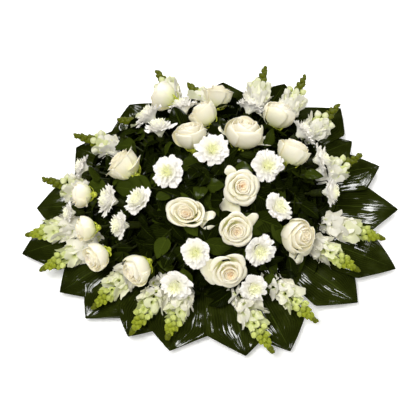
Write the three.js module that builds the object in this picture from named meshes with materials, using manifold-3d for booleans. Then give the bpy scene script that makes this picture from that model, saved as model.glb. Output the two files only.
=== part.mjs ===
// Round funeral arrangement: a mound of roses, carnations and snapdragons in a dish of floral foam,
// with a collar of broad leaves. Millimetres, +Z up, origin on the table under the middle of the dish.
// An azimuth is measured in degrees from the front (-Y) towards +X, and a tilt from straight up (+Z).
import * as THREE from 'three';
import { mergeVertices } from 'three/addons/utils/BufferGeometryUtils.js';
import Module from 'manifold-3d';

const wasm = await Module();
wasm.setup();

// The dish, and the domed block of foam that stands in it.
const DISH_RADIUS = 125;
const DISH_FOOT_RADIUS = 104;
const DISH_HEIGHT = 24;
const DISH_WALL = 2.5;
const DISH_SEGMENTS = 24;
const FOAM_RADIUS = 112;
const FOAM_FOOT_RADIUS = 96;
const FOAM_SHOULDER = 80;
const FOAM_TOP = 128;
const FOAM_SEGMENTS = 14;
const FOAM_DOME_ANGLES = [30, 62];
const SEAT_GAP = 0.3;

// The mound: every stem points away from the focus, and every bloom's face lies on a flattened dome.
const FOCUS = new THREE.Vector3(0, 0, 50);
const DOME_RADIUS = 275;
const DOME_HEIGHT = 190;
const STEM_START = 56;
const HUB_DISTANCE = 28;
const HOLE_CLEARANCE = 0.6;

// A rose, at size 1. A rim's radius is given for a bud and for a full bloom.
const ROSE_STEM_RADIUS = 3;
const ROSE_STEM_SIDES = 4;
const ROSE_DEPTH = 54;
const ROSE_PETALS = 5;
const PETAL_REACH = [0.9, 1.02, 1.06];
const PETAL_RISE = [-1, 1, 0];
const ROSE_BASE = { radius: 9, height: -47 };
const ROSE_BELLY = { radius: 27, height: -28 };
const ROSE_RIMS = [
  { bud: 28, full: 34, height: -10, budLift: 0, wave: 3, cleft: -14 },
  { bud: 21, full: 25, height: -3, budLift: 2, wave: 2.5, cleft: -8 },
  { bud: 13, full: 14.5, height: 1, budLift: 2, wave: 2, cleft: -5 },
];

// A carnation, at size 1.
const CARNATION_STEM_RADIUS = 2.3;
const CARNATION_STEM_SIDES = 4;
const CARNATION_DEPTH = 50;
const CARNATION_FOLDS = 9;
const CALYX_FOOT = { radius: 6.5, height: -46 };
const CALYX_MOUTH = { radius: 7.5, height: -26 };
const CARNATION_UNDERSIDE = { radius: 16, height: -18 };
const CARNATION_FRINGES = [
  { radius: 30, inward: 0.88, height: -9, wave: 2.5, turn: 0, fine: 2 },
  { radius: 23.5, inward: 0.86, height: -2, wave: 2.5, turn: 0.13, fine: 2 },
  { radius: 13, inward: 0.72, height: 2, wave: 2, turn: 0, fine: 1 },
];
const CARNATION_CLEFTS = [{ radius: 19.5, height: -10 }, { radius: 12, height: -5 }];
const CARNATION_HEART = -2;

// A snapdragon spike: its path, and the reach of the florets and buds of each whorl.
const SPIKE_STEM_RADIUS = 2.4;
const SPIKE_STEM_SIDES = 4;
const SPIKE_ROOT = { radius: 62, height: 46 };
const SPIKE_EXIT = { radius: 130, height: 50 };
const SPIKE_BEND_RADIUS = 205;
const SPIKE_NECK = 4;
const WHORL_REACH = [17, 20.5, 19.5, 16.5, 12, 8];
const WHORL_SPREAD = 1.28;
const BUD_WHORLS = 2;
const FLORETS = 5;
const FLORET_NOTCH = 0.6;
const FLORET_FORWARD = 2.5;
const NOTCH_BACK = -1;
const WAIST = 0.42;

// A collar leaf: a square stalk, and a blade that rolls, arches and droops.
const COLLAR_ROOT_RADIUS = 84;
const COLLAR_STALK_END = 122;
const COLLAR_BLADE_RADIUS = 128;
const COLLAR_HEIGHT = 30;
const COLLAR_THICKNESS = 1.2;
const COLLAR_STALK_WIDTH = 5;
const COLLAR_STALK_DEPTH = 4;
const COLLAR_ROLL = 5.5;
const COLLAR_ARCH = 0.0005;
const COLLAR_DROOP = 0.00042;
const COLLAR_DROOP_FROM = 170;
// Share of the blade's length, and share of its half width.
const COLLAR_OUTLINE = [[0.08, 0.3], [0.3, 0.66], [0.55, 0.94], [0.76, 1], [0.9, 0.45], [1, 0.02]];

// A filler leaf, folded along its rib.
const SPRIG_STALK_RADIUS = 1.6;
const SPRIG_STALK_SIDES = 3;
const SPRIG_LEAF_SINK = 22;
const SPRIG_LEAF_WIDTH = 0.72;
const SPRIG_LEAF_THICKNESS = 1.6;
const SPRIG_LEAF_FOLD = 3;
const SPRIG_OUTLINE = [[0.32, 1], [0.68, 0.85]];

// Where each bloom stands: azimuth and tilt of its face, and how far the face lies outside the dome.
// Which way it faces: azimuth and tilt. A rose is also open to some degree (0 a bud, 1 full).
const ROSES = [
  { at: [-154, 77, 6], faces: [-112, 84], size: 1.0, open: 0.5 },
  { at: [175, 68, 6], faces: [174, 46], size: 0.98, open: 0.8 },
  { at: [-142, 24, 5], faces: [-150, 28], size: 1.0, open: 0.4 },
  { at: [-170, 43, 0], faces: [-125, 50], size: 0.93, open: 0.5 },
  { at: [132, 32, 8], faces: [160, 20], size: 1.15, open: 0.2 },
  { at: [138, 66, 8], faces: [155, 36], size: 1.03, open: 0.2 },
  { at: [104, 56, 5], faces: [148, 46], size: 1.05, open: 0.3 },
  { at: [-91, 57, 6], faces: [-120, 60], size: 1.12, open: 0.7 },
  { at: [-17.3, 47.8, 8], faces: [-19, 28], size: 1.0, open: 0.8 },
  { at: [35, 38, 4], faces: [18, 40], size: 0.94, open: 0.9 },
  { at: [17, 57.3, 5], faces: [15, 50], size: 0.94, open: 0.85 },
  { at: [9, 73, 6], faces: [8, 62], size: 0.96, open: 0.9 },
  { at: [48, 71.5, 8], faces: [47, 55], size: 1.06, open: 0.3 },
  { at: [-48, 79, 37], faces: [-46, 80], size: 0.87, open: 0.6 },
  { at: [-32, 77, 21], faces: [-46, 80], size: 0.92, open: 0.4 },
  { at: [-63, 78, 23], faces: [-75, 80], size: 0.78, open: 0.6 },
  { at: [-80, 76, 17], faces: [-84, 82], size: 0.78, open: 0.6 },
];

// The carnations, in bunches whose stems meet inside the foam.
const CARNATION_BUNCHES = [
  [
    { at: [-159, 52, 0], faces: [-160, 58], size: 1 },
    { at: [-129, 44, 0], faces: [-165, 36], size: 1 },
    { at: [-136, 59, 0], faces: [-125, 60], size: 1 },
  ],
  [
    { at: [55, 3, 0], faces: [10, 24], size: 1 },
    { at: [-56, 34, 0], faces: [-25, 35], size: 1 },
    { at: [74, 41, 0], faces: [30, 36], size: 1 },
  ],
  [
    { at: [-55, 55, 0], faces: [-100, 40], size: 1 },
    { at: [-69, 67, 0], faces: [-90, 66], size: 1 },
    { at: [-52, 69, 0], faces: [-76, 74], size: 0.95 },
  ],
  [
    { at: [-7, 66, 1], faces: [-5, 48], size: 0.95 },
    { at: [-14, 79, 2], faces: [-14, 60], size: 0.95 },
  ],
  [
    { at: [26, 69, 0], faces: [22, 64], size: 1 },
    { at: [50, 57, 0], faces: [80, 36], size: 0.95 },
    { at: [18, 80, 9], faces: [18, 68], size: 0.9 },
  ],
  [
    { at: [100, 72, 0], faces: [100, 78], size: 0.95 },
    { at: [82, 76, 0], faces: [84, 76], size: 0.95 },
  ],
  [
    { at: [151, 58, 0], faces: [152, 58], size: 0.95 },
    { at: [120, 70, 0], faces: [122, 66], size: 0.95 },
  ],
  [
    { at: [-75, 81, 19], faces: [-80, 76], size: 0.68 },
    { at: [-99, 79, 4], faces: [-102, 76], size: 0.8 },
  ],
];

// The snapdragons, in pairs that fork inside the foam. Each: azimuth where it leaves the foam,
// azimuth, radius and height of its tip, height of its bend, length of the stretch with florets.
const SNAPDRAGON_PAIRS = [
  [[-165, -161, 324, 80, 78, 82], [178, -171, 282, 70, 76, 70]],
  [[155, 160, 328, 90, 80, 96], [138, 146, 340, 90, 80, 100]],
  [[122, 130, 330, 80, 76, 96], [96, 107, 302, 75, 72, 90]],
  [[73, 72, 332, 58, 60, 106], [61, 57, 316, 55, 58, 112]],
  [[28, 34, 332, 50, 56, 112], [11, 18, 352, 45, 55, 132]],
  [[-11, -13, 318, 48, 55, 104], [-22, -24, 328, 48, 56, 122]],
  [[-39, -39, 320, 50, 56, 114], [-62, -61, 342, 50, 55, 112]],
  [[-72, -75, 343, 52, 55, 98], [-89, -96, 312, 68, 62, 84]],
  [[-122, -117, 290, 78, 74, 86], [-145, -134, 248, 76, 78, 70]],
];

// The collar leaves in order round the rim: azimuth, radius of the tip, half width.
const COLLAR_LEAVES = [
  [-12, 318, 58],
  [11, 326, 58],
  [24, 339, 55],
  [51, 334, 58],
  [68, 360, 56],
  [90, 351, 56],
  [108, 343, 54],
  [121, 324, 52],
  [135, 372, 60],
  [155, 364, 58],
  [175, 331, 64],
  [211, 308, 66],
  [240, 296, 66],
  [270, 319, 62],
  [287, 352, 55],
  [306, 323, 52],
  [319, 324, 50],
  [334, 314, 50],
];

// The filler leaves, in sprigs whose stalks meet inside the foam. Each: azimuth and tilt of the foot
// of its blade, the way it points on the mound (0 outwards, 90 towards a greater azimuth), how far it
// leans that way from upright, its length.
const SPRIGS = [
  [[-93, 35, 180, 45, 38], [-108, 56, 0, 40, 42], [-88, 72, 180, 35, 38], [-146, 38, -20, 30, 46]],
  [[-26, 20, 0, 30, 36], [-10, 31, 0, 35, 36], [2, 41, 90, 25, 36], [60, 24, 0, 35, 36]],
  [[-25, 65, 0, 30, 40], [-36, 59, 180, 30, 38], [-20, 70, 0, 12, 36], [-41, 45, 0, 15, 34]],
  [[66, 56, 180, 30, 38], [65, 67, 0, 40, 42], [86, 65, 0, 12, 34], [107, 45, 90, 30, 36]],
  [[160, 69, 0, 50, 50], [148, 79, 0, 60, 48]],
];

// Colour and roughness of each kind of piece.
const FINISHES = {
  dish: [0x232a25, 0.45],
  foam: [0x2f5a34, 0.95],
  rose: [0xf3ecd2, 0.6],
  carnation: [0xf7f7f2, 0.7],
  snapdragon: [0xe9eccb, 0.6],
  collar: [0x1f3318, 0.3],
  foliage: [0x2b4a1e, 0.35],
};

const UP = new THREE.Vector3(0, 0, 1);

const radians = THREE.MathUtils.degToRad;

function direction(azimuth, tilt) {
  const a = radians(azimuth);
  const t = radians(tilt);
  return new THREE.Vector3(Math.sin(a) * Math.sin(t), -Math.cos(a) * Math.sin(t), Math.cos(t));
}

function polar(azimuth, { radius, height }) {
  const a = radians(azimuth);
  return new THREE.Vector3(Math.sin(a) * radius, -Math.cos(a) * radius, height);
}

// The point of the dome that a ray from the focus meets.
function domePoint(azimuth, tilt) {
  const ray = direction(azimuth, tilt);
  const a = (ray.x ** 2 + ray.y ** 2) / DOME_RADIUS ** 2 + ray.z ** 2 / DOME_HEIGHT ** 2;
  const b = 2 * FOCUS.z * ray.z / DOME_HEIGHT ** 2;
  const c = FOCUS.z ** 2 / DOME_HEIGHT ** 2 - 1;
  const reach = (-b + Math.sqrt(b * b - 4 * a * c)) / (2 * a);
  return FOCUS.clone().addScaledVector(ray, reach);
}

// A local frame: a point is given by its radius and angle round an axis, and its height along it.
// Its x is level, or as near as can be to the direction that is given. A spread widens x alone.
class Frame {
  constructor(origin, axis, x = new THREE.Vector3().crossVectors(UP, axis)) {
    this.origin = origin;
    this.z = axis.clone().normalize();
    this.x = x.clone().projectOnPlane(this.z).normalize();
    this.y = new THREE.Vector3().crossVectors(this.z, this.x);
  }

  at(radius, angle, height, spread = 1) {
    return this.origin.clone()
      .addScaledVector(this.x, spread * radius * Math.cos(angle))
      .addScaledVector(this.y, radius * Math.sin(angle))
      .addScaledVector(this.z, height);
  }

  ring(count, radius, height = 0, spread = 1) {
    const turn = 2 * Math.PI / count;
    return Array.from({ length: count }, (_, i) => this.at(radius, turn * i, height, spread));
  }
}

function meshGeometry(points, faces) {
  const geometry = new THREE.BufferGeometry();
  const positions = points.flatMap((p) => p.toArray());
  geometry.setAttribute('position', new THREE.Float32BufferAttribute(positions, 3));
  geometry.setIndex(faces.flat());
  return geometry;
}

// A closed surface through rings of points, each with any count. The first ring is closed flat, and
// the last by a peak. Between two rings, triangles step along whichever ring lags behind.
function loft(rings, peak) {
  const points = [...rings.flat(), peak];
  const firsts = [];
  let next = 0;
  for (const ring of rings) {
    firsts.push(next);
    next += ring.length;
  }
  const index = (r, i) => firsts[r] + i % rings[r].length;
  const faces = [];
  for (let i = 1; i + 1 < rings[0].length; i++) {
    faces.push([index(0, 0), index(0, i + 1), index(0, i)]);
  }
  for (let r = 0; r + 1 < rings.length; r++) {
    const lower = rings[r].length;
    const upper = rings[r + 1].length;
    let i = 0;
    let j = 0;
    while (i < lower || j < upper) {
      if (j === upper || (i < lower && (i + 0.5) / lower <= (j + 0.5) / upper)) {
        faces.push([index(r, i), index(r, i + 1), index(r + 1, j)]);
        i++;
      } else {
        faces.push([index(r, i), index(r + 1, j + 1), index(r + 1, j)]);
        j++;
      }
    }
  }
  const last = rings.length - 1;
  for (let i = 0; i < rings[last].length; i++) {
    faces.push([next, index(last, i), index(last, i + 1)]);
  }
  return meshGeometry(points, faces);
}

// A thin blade from rows of three points (one edge, the rib, the other edge), each row with its depth.
// Both faces are split into triangles alike.
function blade(rows, depths) {
  const across = rows[0].length;
  const points = [];
  for (const side of [0.5, -0.5]) {
    rows.forEach((row, r) => {
      for (const p of row) points.push(p.clone().addScaledVector(UP, side * depths[r]));
    });
  }
  const under = rows.length * across;
  const faces = [];
  const quad = (a, b, c, d) => faces.push([a, b, c], [a, c, d]);
  for (let r = 0; r + 1 < rows.length; r++) {
    const left = r * across;
    const right = left + across - 1;
    for (let a = left; a < right; a++) {
      quad(a, a + across, a + across + 1, a + 1);
      quad(under + a + 1, under + a + across + 1, under + a + across, under + a);
    }
    quad(under + left, under + left + across, left + across, left);
    quad(right, right + across, under + right + across, under + right);
  }
  const last = (rows.length - 1) * across;
  for (let c = 0; c + 1 < across; c++) {
    quad(under + c, c, c + 1, under + c + 1);
    quad(last + c, under + last + c, under + last + c + 1, last + c + 1);
  }
  return meshGeometry(points, faces);
}

// A closed geometry as a solid that can be joined and cut.
function solid(geometry) {
  const bare = geometry.clone();
  bare.deleteAttribute('normal');
  bare.deleteAttribute('uv');
  const merged = mergeVertices(bare, 1e-5);
  return new wasm.Manifold(new wasm.Mesh({
    numProp: 3,
    vertProperties: new Float32Array(merged.attributes.position.array),
    triVerts: new Uint32Array(merged.index.array),
  }));
}

function toGeometry(whole) {
  const mesh = whole.getMesh();
  const geometry = new THREE.BufferGeometry();
  geometry.setAttribute('position', new THREE.BufferAttribute(new Float32Array(mesh.vertProperties), 3));
  geometry.setIndex(new THREE.BufferAttribute(new Uint32Array(mesh.triVerts), 1));
  return geometry;
}

function fuse(geometries) {
  return toGeometry(geometries.map(solid).reduce((whole, piece) => whole.add(piece)));
}

// The two rings of a straight stem. Its end may be cut askew, square to the direction that is given.
function stemRings(foot, end, radius, sides, x, cut = end.clone().sub(foot)) {
  const along = end.clone().sub(foot);
  return [new Frame(foot, along, x).ring(sides, radius), new Frame(end, cut, x).ring(sides, radius)];
}

// The holes in the foam, one for each stem.
const holes = [];

function drill(bottom, mouth, radius, sides, x) {
  const along = mouth.clone().sub(bottom).normalize();
  const floor = bottom.clone().addScaledVector(along, -HOLE_CLEARANCE);
  holes.push(loft(stemRings(floor, mouth, radius + HOLE_CLEARANCE, sides, x), mouth));
}

// A bloom's stem in its hole in the foam. It meets the bloom in a mitre.
function bloomStem(foot, neck, face, radius, sides) {
  const mitre = neck.clone().sub(foot).normalize().add(face.z);
  drill(foot, neck, radius, sides, face.x);
  return stemRings(foot, neck, radius, sides, face.x, mitre);
}

const arrangement = new THREE.Group();

function add(name, geometry, finish) {
  const [color, roughness] = FINISHES[finish];
  const material = new THREE.MeshStandardMaterial({ color, roughness, metalness: 0 });
  const mesh = new THREE.Mesh(geometry, material);
  mesh.name = name;
  arrangement.add(mesh);
  return mesh;
}

function numbered(name, index) {
  return `${name}_${String(index + 1).padStart(2, '0')}`;
}

// Where a bloom stands: the frame of its face, and its neck.
function bloomPlace({ at: [azimuth, tilt, lift], faces, size }, depth) {
  const center = domePoint(azimuth, tilt).addScaledVector(direction(azimuth, tilt), lift);
  const face = new Frame(center, direction(...faces));
  return { face, neck: face.at(0, 0, -depth * size) };
}

// A rim of overlapping petals: each starts tucked in and low, and ends proud of the next.
function petalRim(face, radius, height, turn, wave) {
  const steps = PETAL_REACH.length;
  const count = ROSE_PETALS * steps;
  return Array.from({ length: count }, (_, i) => face.at(
    radius * PETAL_REACH[i % steps],
    2 * Math.PI * i / count + turn,
    height + wave * PETAL_RISE[i % steps],
  ));
}

function rose(bloom) {
  const { size, open } = bloom;
  const { face, neck } = bloomPlace(bloom, ROSE_DEPTH);
  const foot = FOCUS.clone().addScaledVector(neck.clone().sub(FOCUS).normalize(), STEM_START);
  const count = ROSE_PETALS * PETAL_REACH.length;
  const rings = [
    ...bloomStem(foot, neck, face, ROSE_STEM_RADIUS, ROSE_STEM_SIDES),
    face.ring(ROSE_STEM_SIDES, ROSE_BASE.radius * size, ROSE_BASE.height * size),
    face.ring(count, ROSE_BELLY.radius * size, ROSE_BELLY.height * size),
  ];
  const radii = ROSE_RIMS.map(({ bud, full }) => size * (bud + open * (full - bud)));
  ROSE_RIMS.forEach(({ height, budLift, wave, cleft }, i) => {
    const turn = i % 2 ? Math.PI / ROSE_PETALS : 0;
    rings.push(petalRim(face, radii[i], size * (height + budLift * (1 - open)), turn, size * wave));
    if (i + 1 < ROSE_RIMS.length) rings.push(face.ring(count, radii[i + 1], size * cleft));
  });
  return loft(rings, face.at(0, 0, size * ROSE_RIMS[ROSE_RIMS.length - 1].cleft));
}

// A fringed rim: its edge folds in and out, and waves up and down.
function fringe(face, size, { radius, inward, height, wave, turn, fine }) {
  const count = CARNATION_FOLDS * fine;
  return Array.from({ length: count }, (_, i) => face.at(
    size * radius * (i % 2 ? inward : 1),
    2 * Math.PI * i / count + turn,
    size * (height + wave * Math.sin(i * 2.4 + turn)),
  ));
}

function carnation(bloom, hub) {
  const { size } = bloom;
  const { face, neck } = bloomPlace(bloom, CARNATION_DEPTH);
  const ring = (count, { radius, height }) => face.ring(count, radius * size, height * size);
  return loft([
    ...bloomStem(hub, neck, face, CARNATION_STEM_RADIUS, CARNATION_STEM_SIDES),
    ring(CARNATION_STEM_SIDES, CALYX_FOOT),
    ring(CARNATION_STEM_SIDES, CALYX_MOUTH),
    ring(CARNATION_FOLDS, CARNATION_UNDERSIDE),
    fringe(face, size, CARNATION_FRINGES[0]),
    ring(CARNATION_FOLDS, CARNATION_CLEFTS[0]),
    fringe(face, size, CARNATION_FRINGES[1]),
    ring(CARNATION_FOLDS, CARNATION_CLEFTS[1]),
    fringe(face, size, CARNATION_FRINGES[2]),
  ], face.at(0, 0, CARNATION_HEART * size));
}

// The point inside the foam where the stems of a bunch or sprig meet, from where each leads.
function hubOf(places) {
  const mean = new THREE.Vector3();
  for (const [azimuth, tilt] of places) mean.add(direction(azimuth, tilt));
  return FOCUS.clone().addScaledVector(mean.normalize(), HUB_DISTANCE);
}

// A snapdragon spike: a bent stem with whorls of pointed florets that shrink to buds at its tip.
function snapdragon([exitAzimuth, tipAzimuth, tipRadius, tipHeight, bendHeight, flowering], root) {
  const exit = polar(exitAzimuth, SPIKE_EXIT);
  const bend = polar(exitAzimuth, { radius: SPIKE_BEND_RADIUS, height: bendHeight });
  const tip = polar(tipAzimuth, { radius: tipRadius, height: tipHeight });
  const path = new THREE.QuadraticBezierCurve3(exit, bend, tip);
  const length = path.getLength();
  const frameAt = (fromTip) => {
    const share = 1 - fromTip / length;
    return new Frame(path.getPointAt(share), path.getTangentAt(share));
  };
  const rings = [
    new Frame(root, exit.clone().sub(root)).ring(SPIKE_STEM_SIDES, SPIKE_STEM_RADIUS),
    new Frame(exit, path.getTangentAt(0)).ring(SPIKE_STEM_SIDES, SPIKE_STEM_RADIUS),
    frameAt(flowering + SPIKE_NECK).ring(SPIKE_STEM_SIDES, SPIKE_STEM_RADIUS),
  ];
  const whorls = WHORL_REACH.length;
  WHORL_REACH.forEach((reach, whorl) => {
    const crest = frameAt(flowering * (1 - (whorl + 0.45) / whorls));
    if (whorl < whorls - BUD_WHORLS) {
      const turn = whorl * Math.PI / FLORETS;
      rings.push(Array.from({ length: 2 * FLORETS }, (_, i) => crest.at(
        i % 2 ? reach : reach * FLORET_NOTCH,
        Math.PI * i / FLORETS + turn,
        i % 2 ? FLORET_FORWARD : NOTCH_BACK,
        WHORL_SPREAD,
      )));
    } else {
      rings.push(crest.ring(FLORETS, reach, 0, WHORL_SPREAD));
    }
    if (whorl + 1 < whorls) {
      const waist = frameAt(flowering * (1 - (whorl + 0.95) / whorls));
      rings.push(waist.ring(FLORETS, WAIST * WHORL_REACH[whorl + 1], 0, WHORL_SPREAD));
    }
  });
  drill(root, exit, SPIKE_STEM_RADIUS, SPIKE_STEM_SIDES);
  return loft(rings, tip);
}

// A pair of spikes that fork from one root, half way between the places where they leave the foam.
function snapdragonPair(pair) {
  const [first, second] = pair.map(([exitAzimuth]) => direction(exitAzimuth, 90));
  const root = first.add(second).setLength(SPIKE_ROOT.radius).setZ(SPIKE_ROOT.height);
  return fuse(pair.map((spike) => snapdragon(spike, root)));
}

// A collar leaf that points to the front.
function collarLeaf(tipRadius, halfWidth) {
  const sides = [-1, 0, 1];
  const rows = [];
  const depths = [];
  const stalkHalf = COLLAR_STALK_WIDTH / 2;
  for (const radius of [COLLAR_ROOT_RADIUS, COLLAR_STALK_END]) {
    rows.push(sides.map((side) => new THREE.Vector3(side * stalkHalf, -radius, COLLAR_HEIGHT)));
    depths.push(COLLAR_STALK_DEPTH);
  }
  const slope = Math.tan(radians(COLLAR_ROLL));
  for (const [share, width] of COLLAR_OUTLINE) {
    const radius = COLLAR_BLADE_RADIUS + share * (tipRadius - COLLAR_BLADE_RADIUS);
    const rib = COLLAR_HEIGHT - COLLAR_DROOP * Math.max(0, radius - COLLAR_DROOP_FROM) ** 2;
    rows.push(sides.map((side) => {
      const off = side * width * halfWidth;
      return new THREE.Vector3(off, -radius, rib - off * slope - COLLAR_ARCH * off * off);
    }));
    depths.push(COLLAR_THICKNESS);
  }
  return blade(rows, depths);
}

// The hole in the side of the foam for the stalk of a collar leaf that points to the front.
function collarHole() {
  const depth = FOAM_RADIUS - COLLAR_ROOT_RADIUS + 2 * COLLAR_STALK_WIDTH;
  const hole = new THREE.BoxGeometry(
    COLLAR_STALK_WIDTH + 2 * HOLE_CLEARANCE,
    depth,
    COLLAR_STALK_DEPTH + 2 * HOLE_CLEARANCE,
  );
  return hole.translate(0, HOLE_CLEARANCE - COLLAR_ROOT_RADIUS - depth / 2, COLLAR_HEIGHT);
}

// A filler leaf on a stalk from the hub: four-sided rings widen into its folded blade.
function sprigLeaf([azimuth, tilt, heading, lean, length], hub) {
  const ray = direction(azimuth, tilt);
  const foot = domePoint(azimuth, tilt).addScaledVector(ray, -SPRIG_LEAF_SINK);
  const outward = direction(azimuth, tilt + 90);
  const sideways = new THREE.Vector3().crossVectors(ray, outward);
  const flat = outward.multiplyScalar(Math.cos(radians(heading)))
    .addScaledVector(sideways, Math.sin(radians(heading)));
  const along = ray.clone().multiplyScalar(Math.cos(radians(lean)))
    .addScaledVector(flat, Math.sin(radians(lean)));
  const across = new THREE.Vector3().crossVectors(along, ray).normalize();
  const normal = new THREE.Vector3().crossVectors(across, along);
  const reach = (share) => foot.clone().addScaledVector(along, share * length);
  const thick = SPRIG_LEAF_THICKNESS / 2;
  const sections = SPRIG_OUTLINE.map(([share, width]) => {
    const half = width * SPRIG_LEAF_WIDTH * length / 2;
    return [[half, 0], [0, -thick - SPRIG_LEAF_FOLD], [-half, 0], [0, thick - SPRIG_LEAF_FOLD]]
      .map(([side, lift]) => reach(share).addScaledVector(across, side).addScaledVector(normal, lift));
  });
  drill(hub, foot, SPRIG_STALK_RADIUS, SPRIG_STALK_SIDES);
  return loft([...stemRings(hub, foot, SPRIG_STALK_RADIUS, SPRIG_STALK_SIDES), ...sections], reach(1));
}

// A turned shape from its profile of radius and height.
function turned(profile, segments) {
  const points = profile.map(([radius, height]) => new THREE.Vector2(radius, height));
  return new THREE.LatheGeometry(points, segments).rotateX(Math.PI / 2);
}

function dish() {
  return turned([
    [0, 0],
    [DISH_FOOT_RADIUS, 0],
    [DISH_RADIUS, DISH_HEIGHT],
    [DISH_RADIUS - DISH_WALL, DISH_HEIGHT],
    [DISH_FOOT_RADIUS - DISH_WALL, DISH_WALL],
    [0, DISH_WALL],
  ], DISH_SEGMENTS);
}

function foamBlock() {
  const cap = FOAM_TOP - FOAM_SHOULDER;
  const block = turned([
    [0, DISH_WALL + SEAT_GAP],
    [FOAM_FOOT_RADIUS, DISH_WALL + SEAT_GAP],
    [FOAM_RADIUS, DISH_HEIGHT],
    [FOAM_RADIUS, FOAM_SHOULDER],
    ...FOAM_DOME_ANGLES.map((angle) => [
      FOAM_RADIUS * Math.cos(radians(angle)),
      FOAM_SHOULDER + cap * Math.sin(radians(angle)),
    ]),
    [0, FOAM_TOP],
  ], FOAM_SEGMENTS);
  return toGeometry(holes.map(solid).reduce((foam, hole) => foam.subtract(hole), solid(block)));
}

add('dish', dish(), 'dish');

ROSES.forEach((bloom, i) => add(numbered('rose', i), rose(bloom), 'rose'));

CARNATION_BUNCHES.forEach((bunch, i) => {
  const hub = hubOf(bunch.map(({ at }) => at));
  const blooms = bunch.map((bloom) => carnation(bloom, hub));
  add(numbered('carnations', i), fuse(blooms), 'carnation');
});

SNAPDRAGON_PAIRS.forEach((pair, i) => {
  add(numbered('snapdragons', i), snapdragonPair(pair), 'snapdragon');
});

COLLAR_LEAVES.forEach(([azimuth, tipRadius, halfWidth], i) => {
  const leaf = add(numbered('collar_leaf', i), collarLeaf(tipRadius, halfWidth), 'collar');
  leaf.rotation.z = radians(azimuth);
  holes.push(collarHole().rotateZ(leaf.rotation.z));
});

SPRIGS.forEach((sprig, i) => {
  const hub = hubOf(sprig);
  add(numbered('foliage_sprig', i), fuse(sprig.map((leaf) => sprigLeaf(leaf, hub))), 'foliage');
});

add('floral_foam', foamBlock(), 'foam');

export default arrangement;
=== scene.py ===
"""Looks of a round funeral arrangement: petals, florets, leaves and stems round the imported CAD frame.

Shapes are worked out in millimetres, as in the part's own source, and become metres in Sheaf.build.
An azimuth is measured in degrees from the front (-Y) towards +X, and a tilt from straight up (+Z).
"""

import math

import bpy
import numpy as np
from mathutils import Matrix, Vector


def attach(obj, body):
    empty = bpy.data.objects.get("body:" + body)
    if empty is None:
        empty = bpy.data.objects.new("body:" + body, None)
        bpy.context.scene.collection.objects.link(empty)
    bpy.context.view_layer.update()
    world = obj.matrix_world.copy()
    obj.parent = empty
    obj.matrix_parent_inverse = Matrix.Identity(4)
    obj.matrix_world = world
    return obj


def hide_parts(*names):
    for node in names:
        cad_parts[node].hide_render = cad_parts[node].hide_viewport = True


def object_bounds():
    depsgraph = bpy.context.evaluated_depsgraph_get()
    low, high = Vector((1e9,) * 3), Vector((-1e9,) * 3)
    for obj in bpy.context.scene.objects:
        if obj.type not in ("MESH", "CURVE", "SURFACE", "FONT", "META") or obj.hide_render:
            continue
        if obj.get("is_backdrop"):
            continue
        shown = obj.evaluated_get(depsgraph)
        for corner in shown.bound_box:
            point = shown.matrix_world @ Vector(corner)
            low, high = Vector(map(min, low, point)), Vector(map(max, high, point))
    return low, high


bl_info = {
    "name": "Round funeral arrangement",
    "version": (1, 0, 0),
    "blender": (4, 5, 0),
    "location": "View3D > Sidebar > Flowers",
    "description": "Builds the blooms, leaves and studio of a round funeral arrangement",
    "category": "Object",
}

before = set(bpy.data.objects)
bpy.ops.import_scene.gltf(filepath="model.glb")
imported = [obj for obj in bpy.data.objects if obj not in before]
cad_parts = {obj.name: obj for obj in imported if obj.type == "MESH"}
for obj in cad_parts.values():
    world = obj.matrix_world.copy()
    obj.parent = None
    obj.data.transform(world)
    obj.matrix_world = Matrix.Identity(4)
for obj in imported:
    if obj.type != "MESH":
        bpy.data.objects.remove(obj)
CAD_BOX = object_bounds()

MM = 0.001
FULL_TURN = 2 * math.pi
GOLDEN_ANGLE = math.radians(137.508)

# Where the random draws of each kind of piece start.
ROSE_SEED = 17
CARNATION_SEED = 20
SNAPDRAGON_SEED = 18
COLLAR_SEED = 5
FILLER_SEED = 9

# The mound, as in the part's source.
FOCUS = np.array([0.0, 0.0, 50.0])
DOME_RADIUS = 275
DOME_HEIGHT = 190
STEM_START = 56
HUB_DISTANCE = 28
FOAM_RADIUS = 112
FOAM_SHOULDER = 80
FOAM_TOP = 128

# Where each bloom stands: azimuth and tilt of its face, and how far the face lies outside the dome.
# Which way it faces: azimuth and tilt. Then its size, and for a rose how far it is open (0 a bud,
# 1 full) and how peach its heart is.
ROSES = [
    ((-154, 77, 6), (-112, 84), 1.0, 0.5, 0.1),
    ((175, 68, 6), (174, 46), 0.98, 0.7, 0.1),
    ((-142, 24, 5), (-150, 28), 1.0, 0.4, 0.1),
    ((-170, 43, 0), (-125, 50), 0.93, 0.5, 0.1),
    ((132, 32, 8), (160, 20), 1.15, 0.25, 0.1),
    ((138, 66, 8), (155, 36), 1.03, 0.15, 0.1),
    ((104, 56, 5), (148, 46), 1.05, 0.5, 0.1),
    ((-91, 57, 6), (-120, 60), 1.12, 0.75, 0.1),
    ((-17.3, 47.8, 8), (-19, 28), 1.0, 0.8, 0.6),
    ((35, 38, 4), (18, 40), 0.94, 1.0, 1.0),
    ((17, 57.3, 5), (15, 50), 0.94, 0.9, 0.6),
    ((9, 73, 6), (8, 62), 0.96, 0.95, 0.9),
    ((48, 71.5, 8), (47, 55), 1.06, 0.35, 0.2),
    ((-48, 79, 37), (-46, 80), 0.87, 0.5, 0.3),
    ((-32, 77, 21), (-46, 80), 0.92, 0.35, 0.1),
    ((-63, 78, 23), (-75, 80), 0.78, 0.5, 0.2),
    ((-80, 76, 17), (-84, 82), 0.78, 0.4, 0.1),
]

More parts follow.
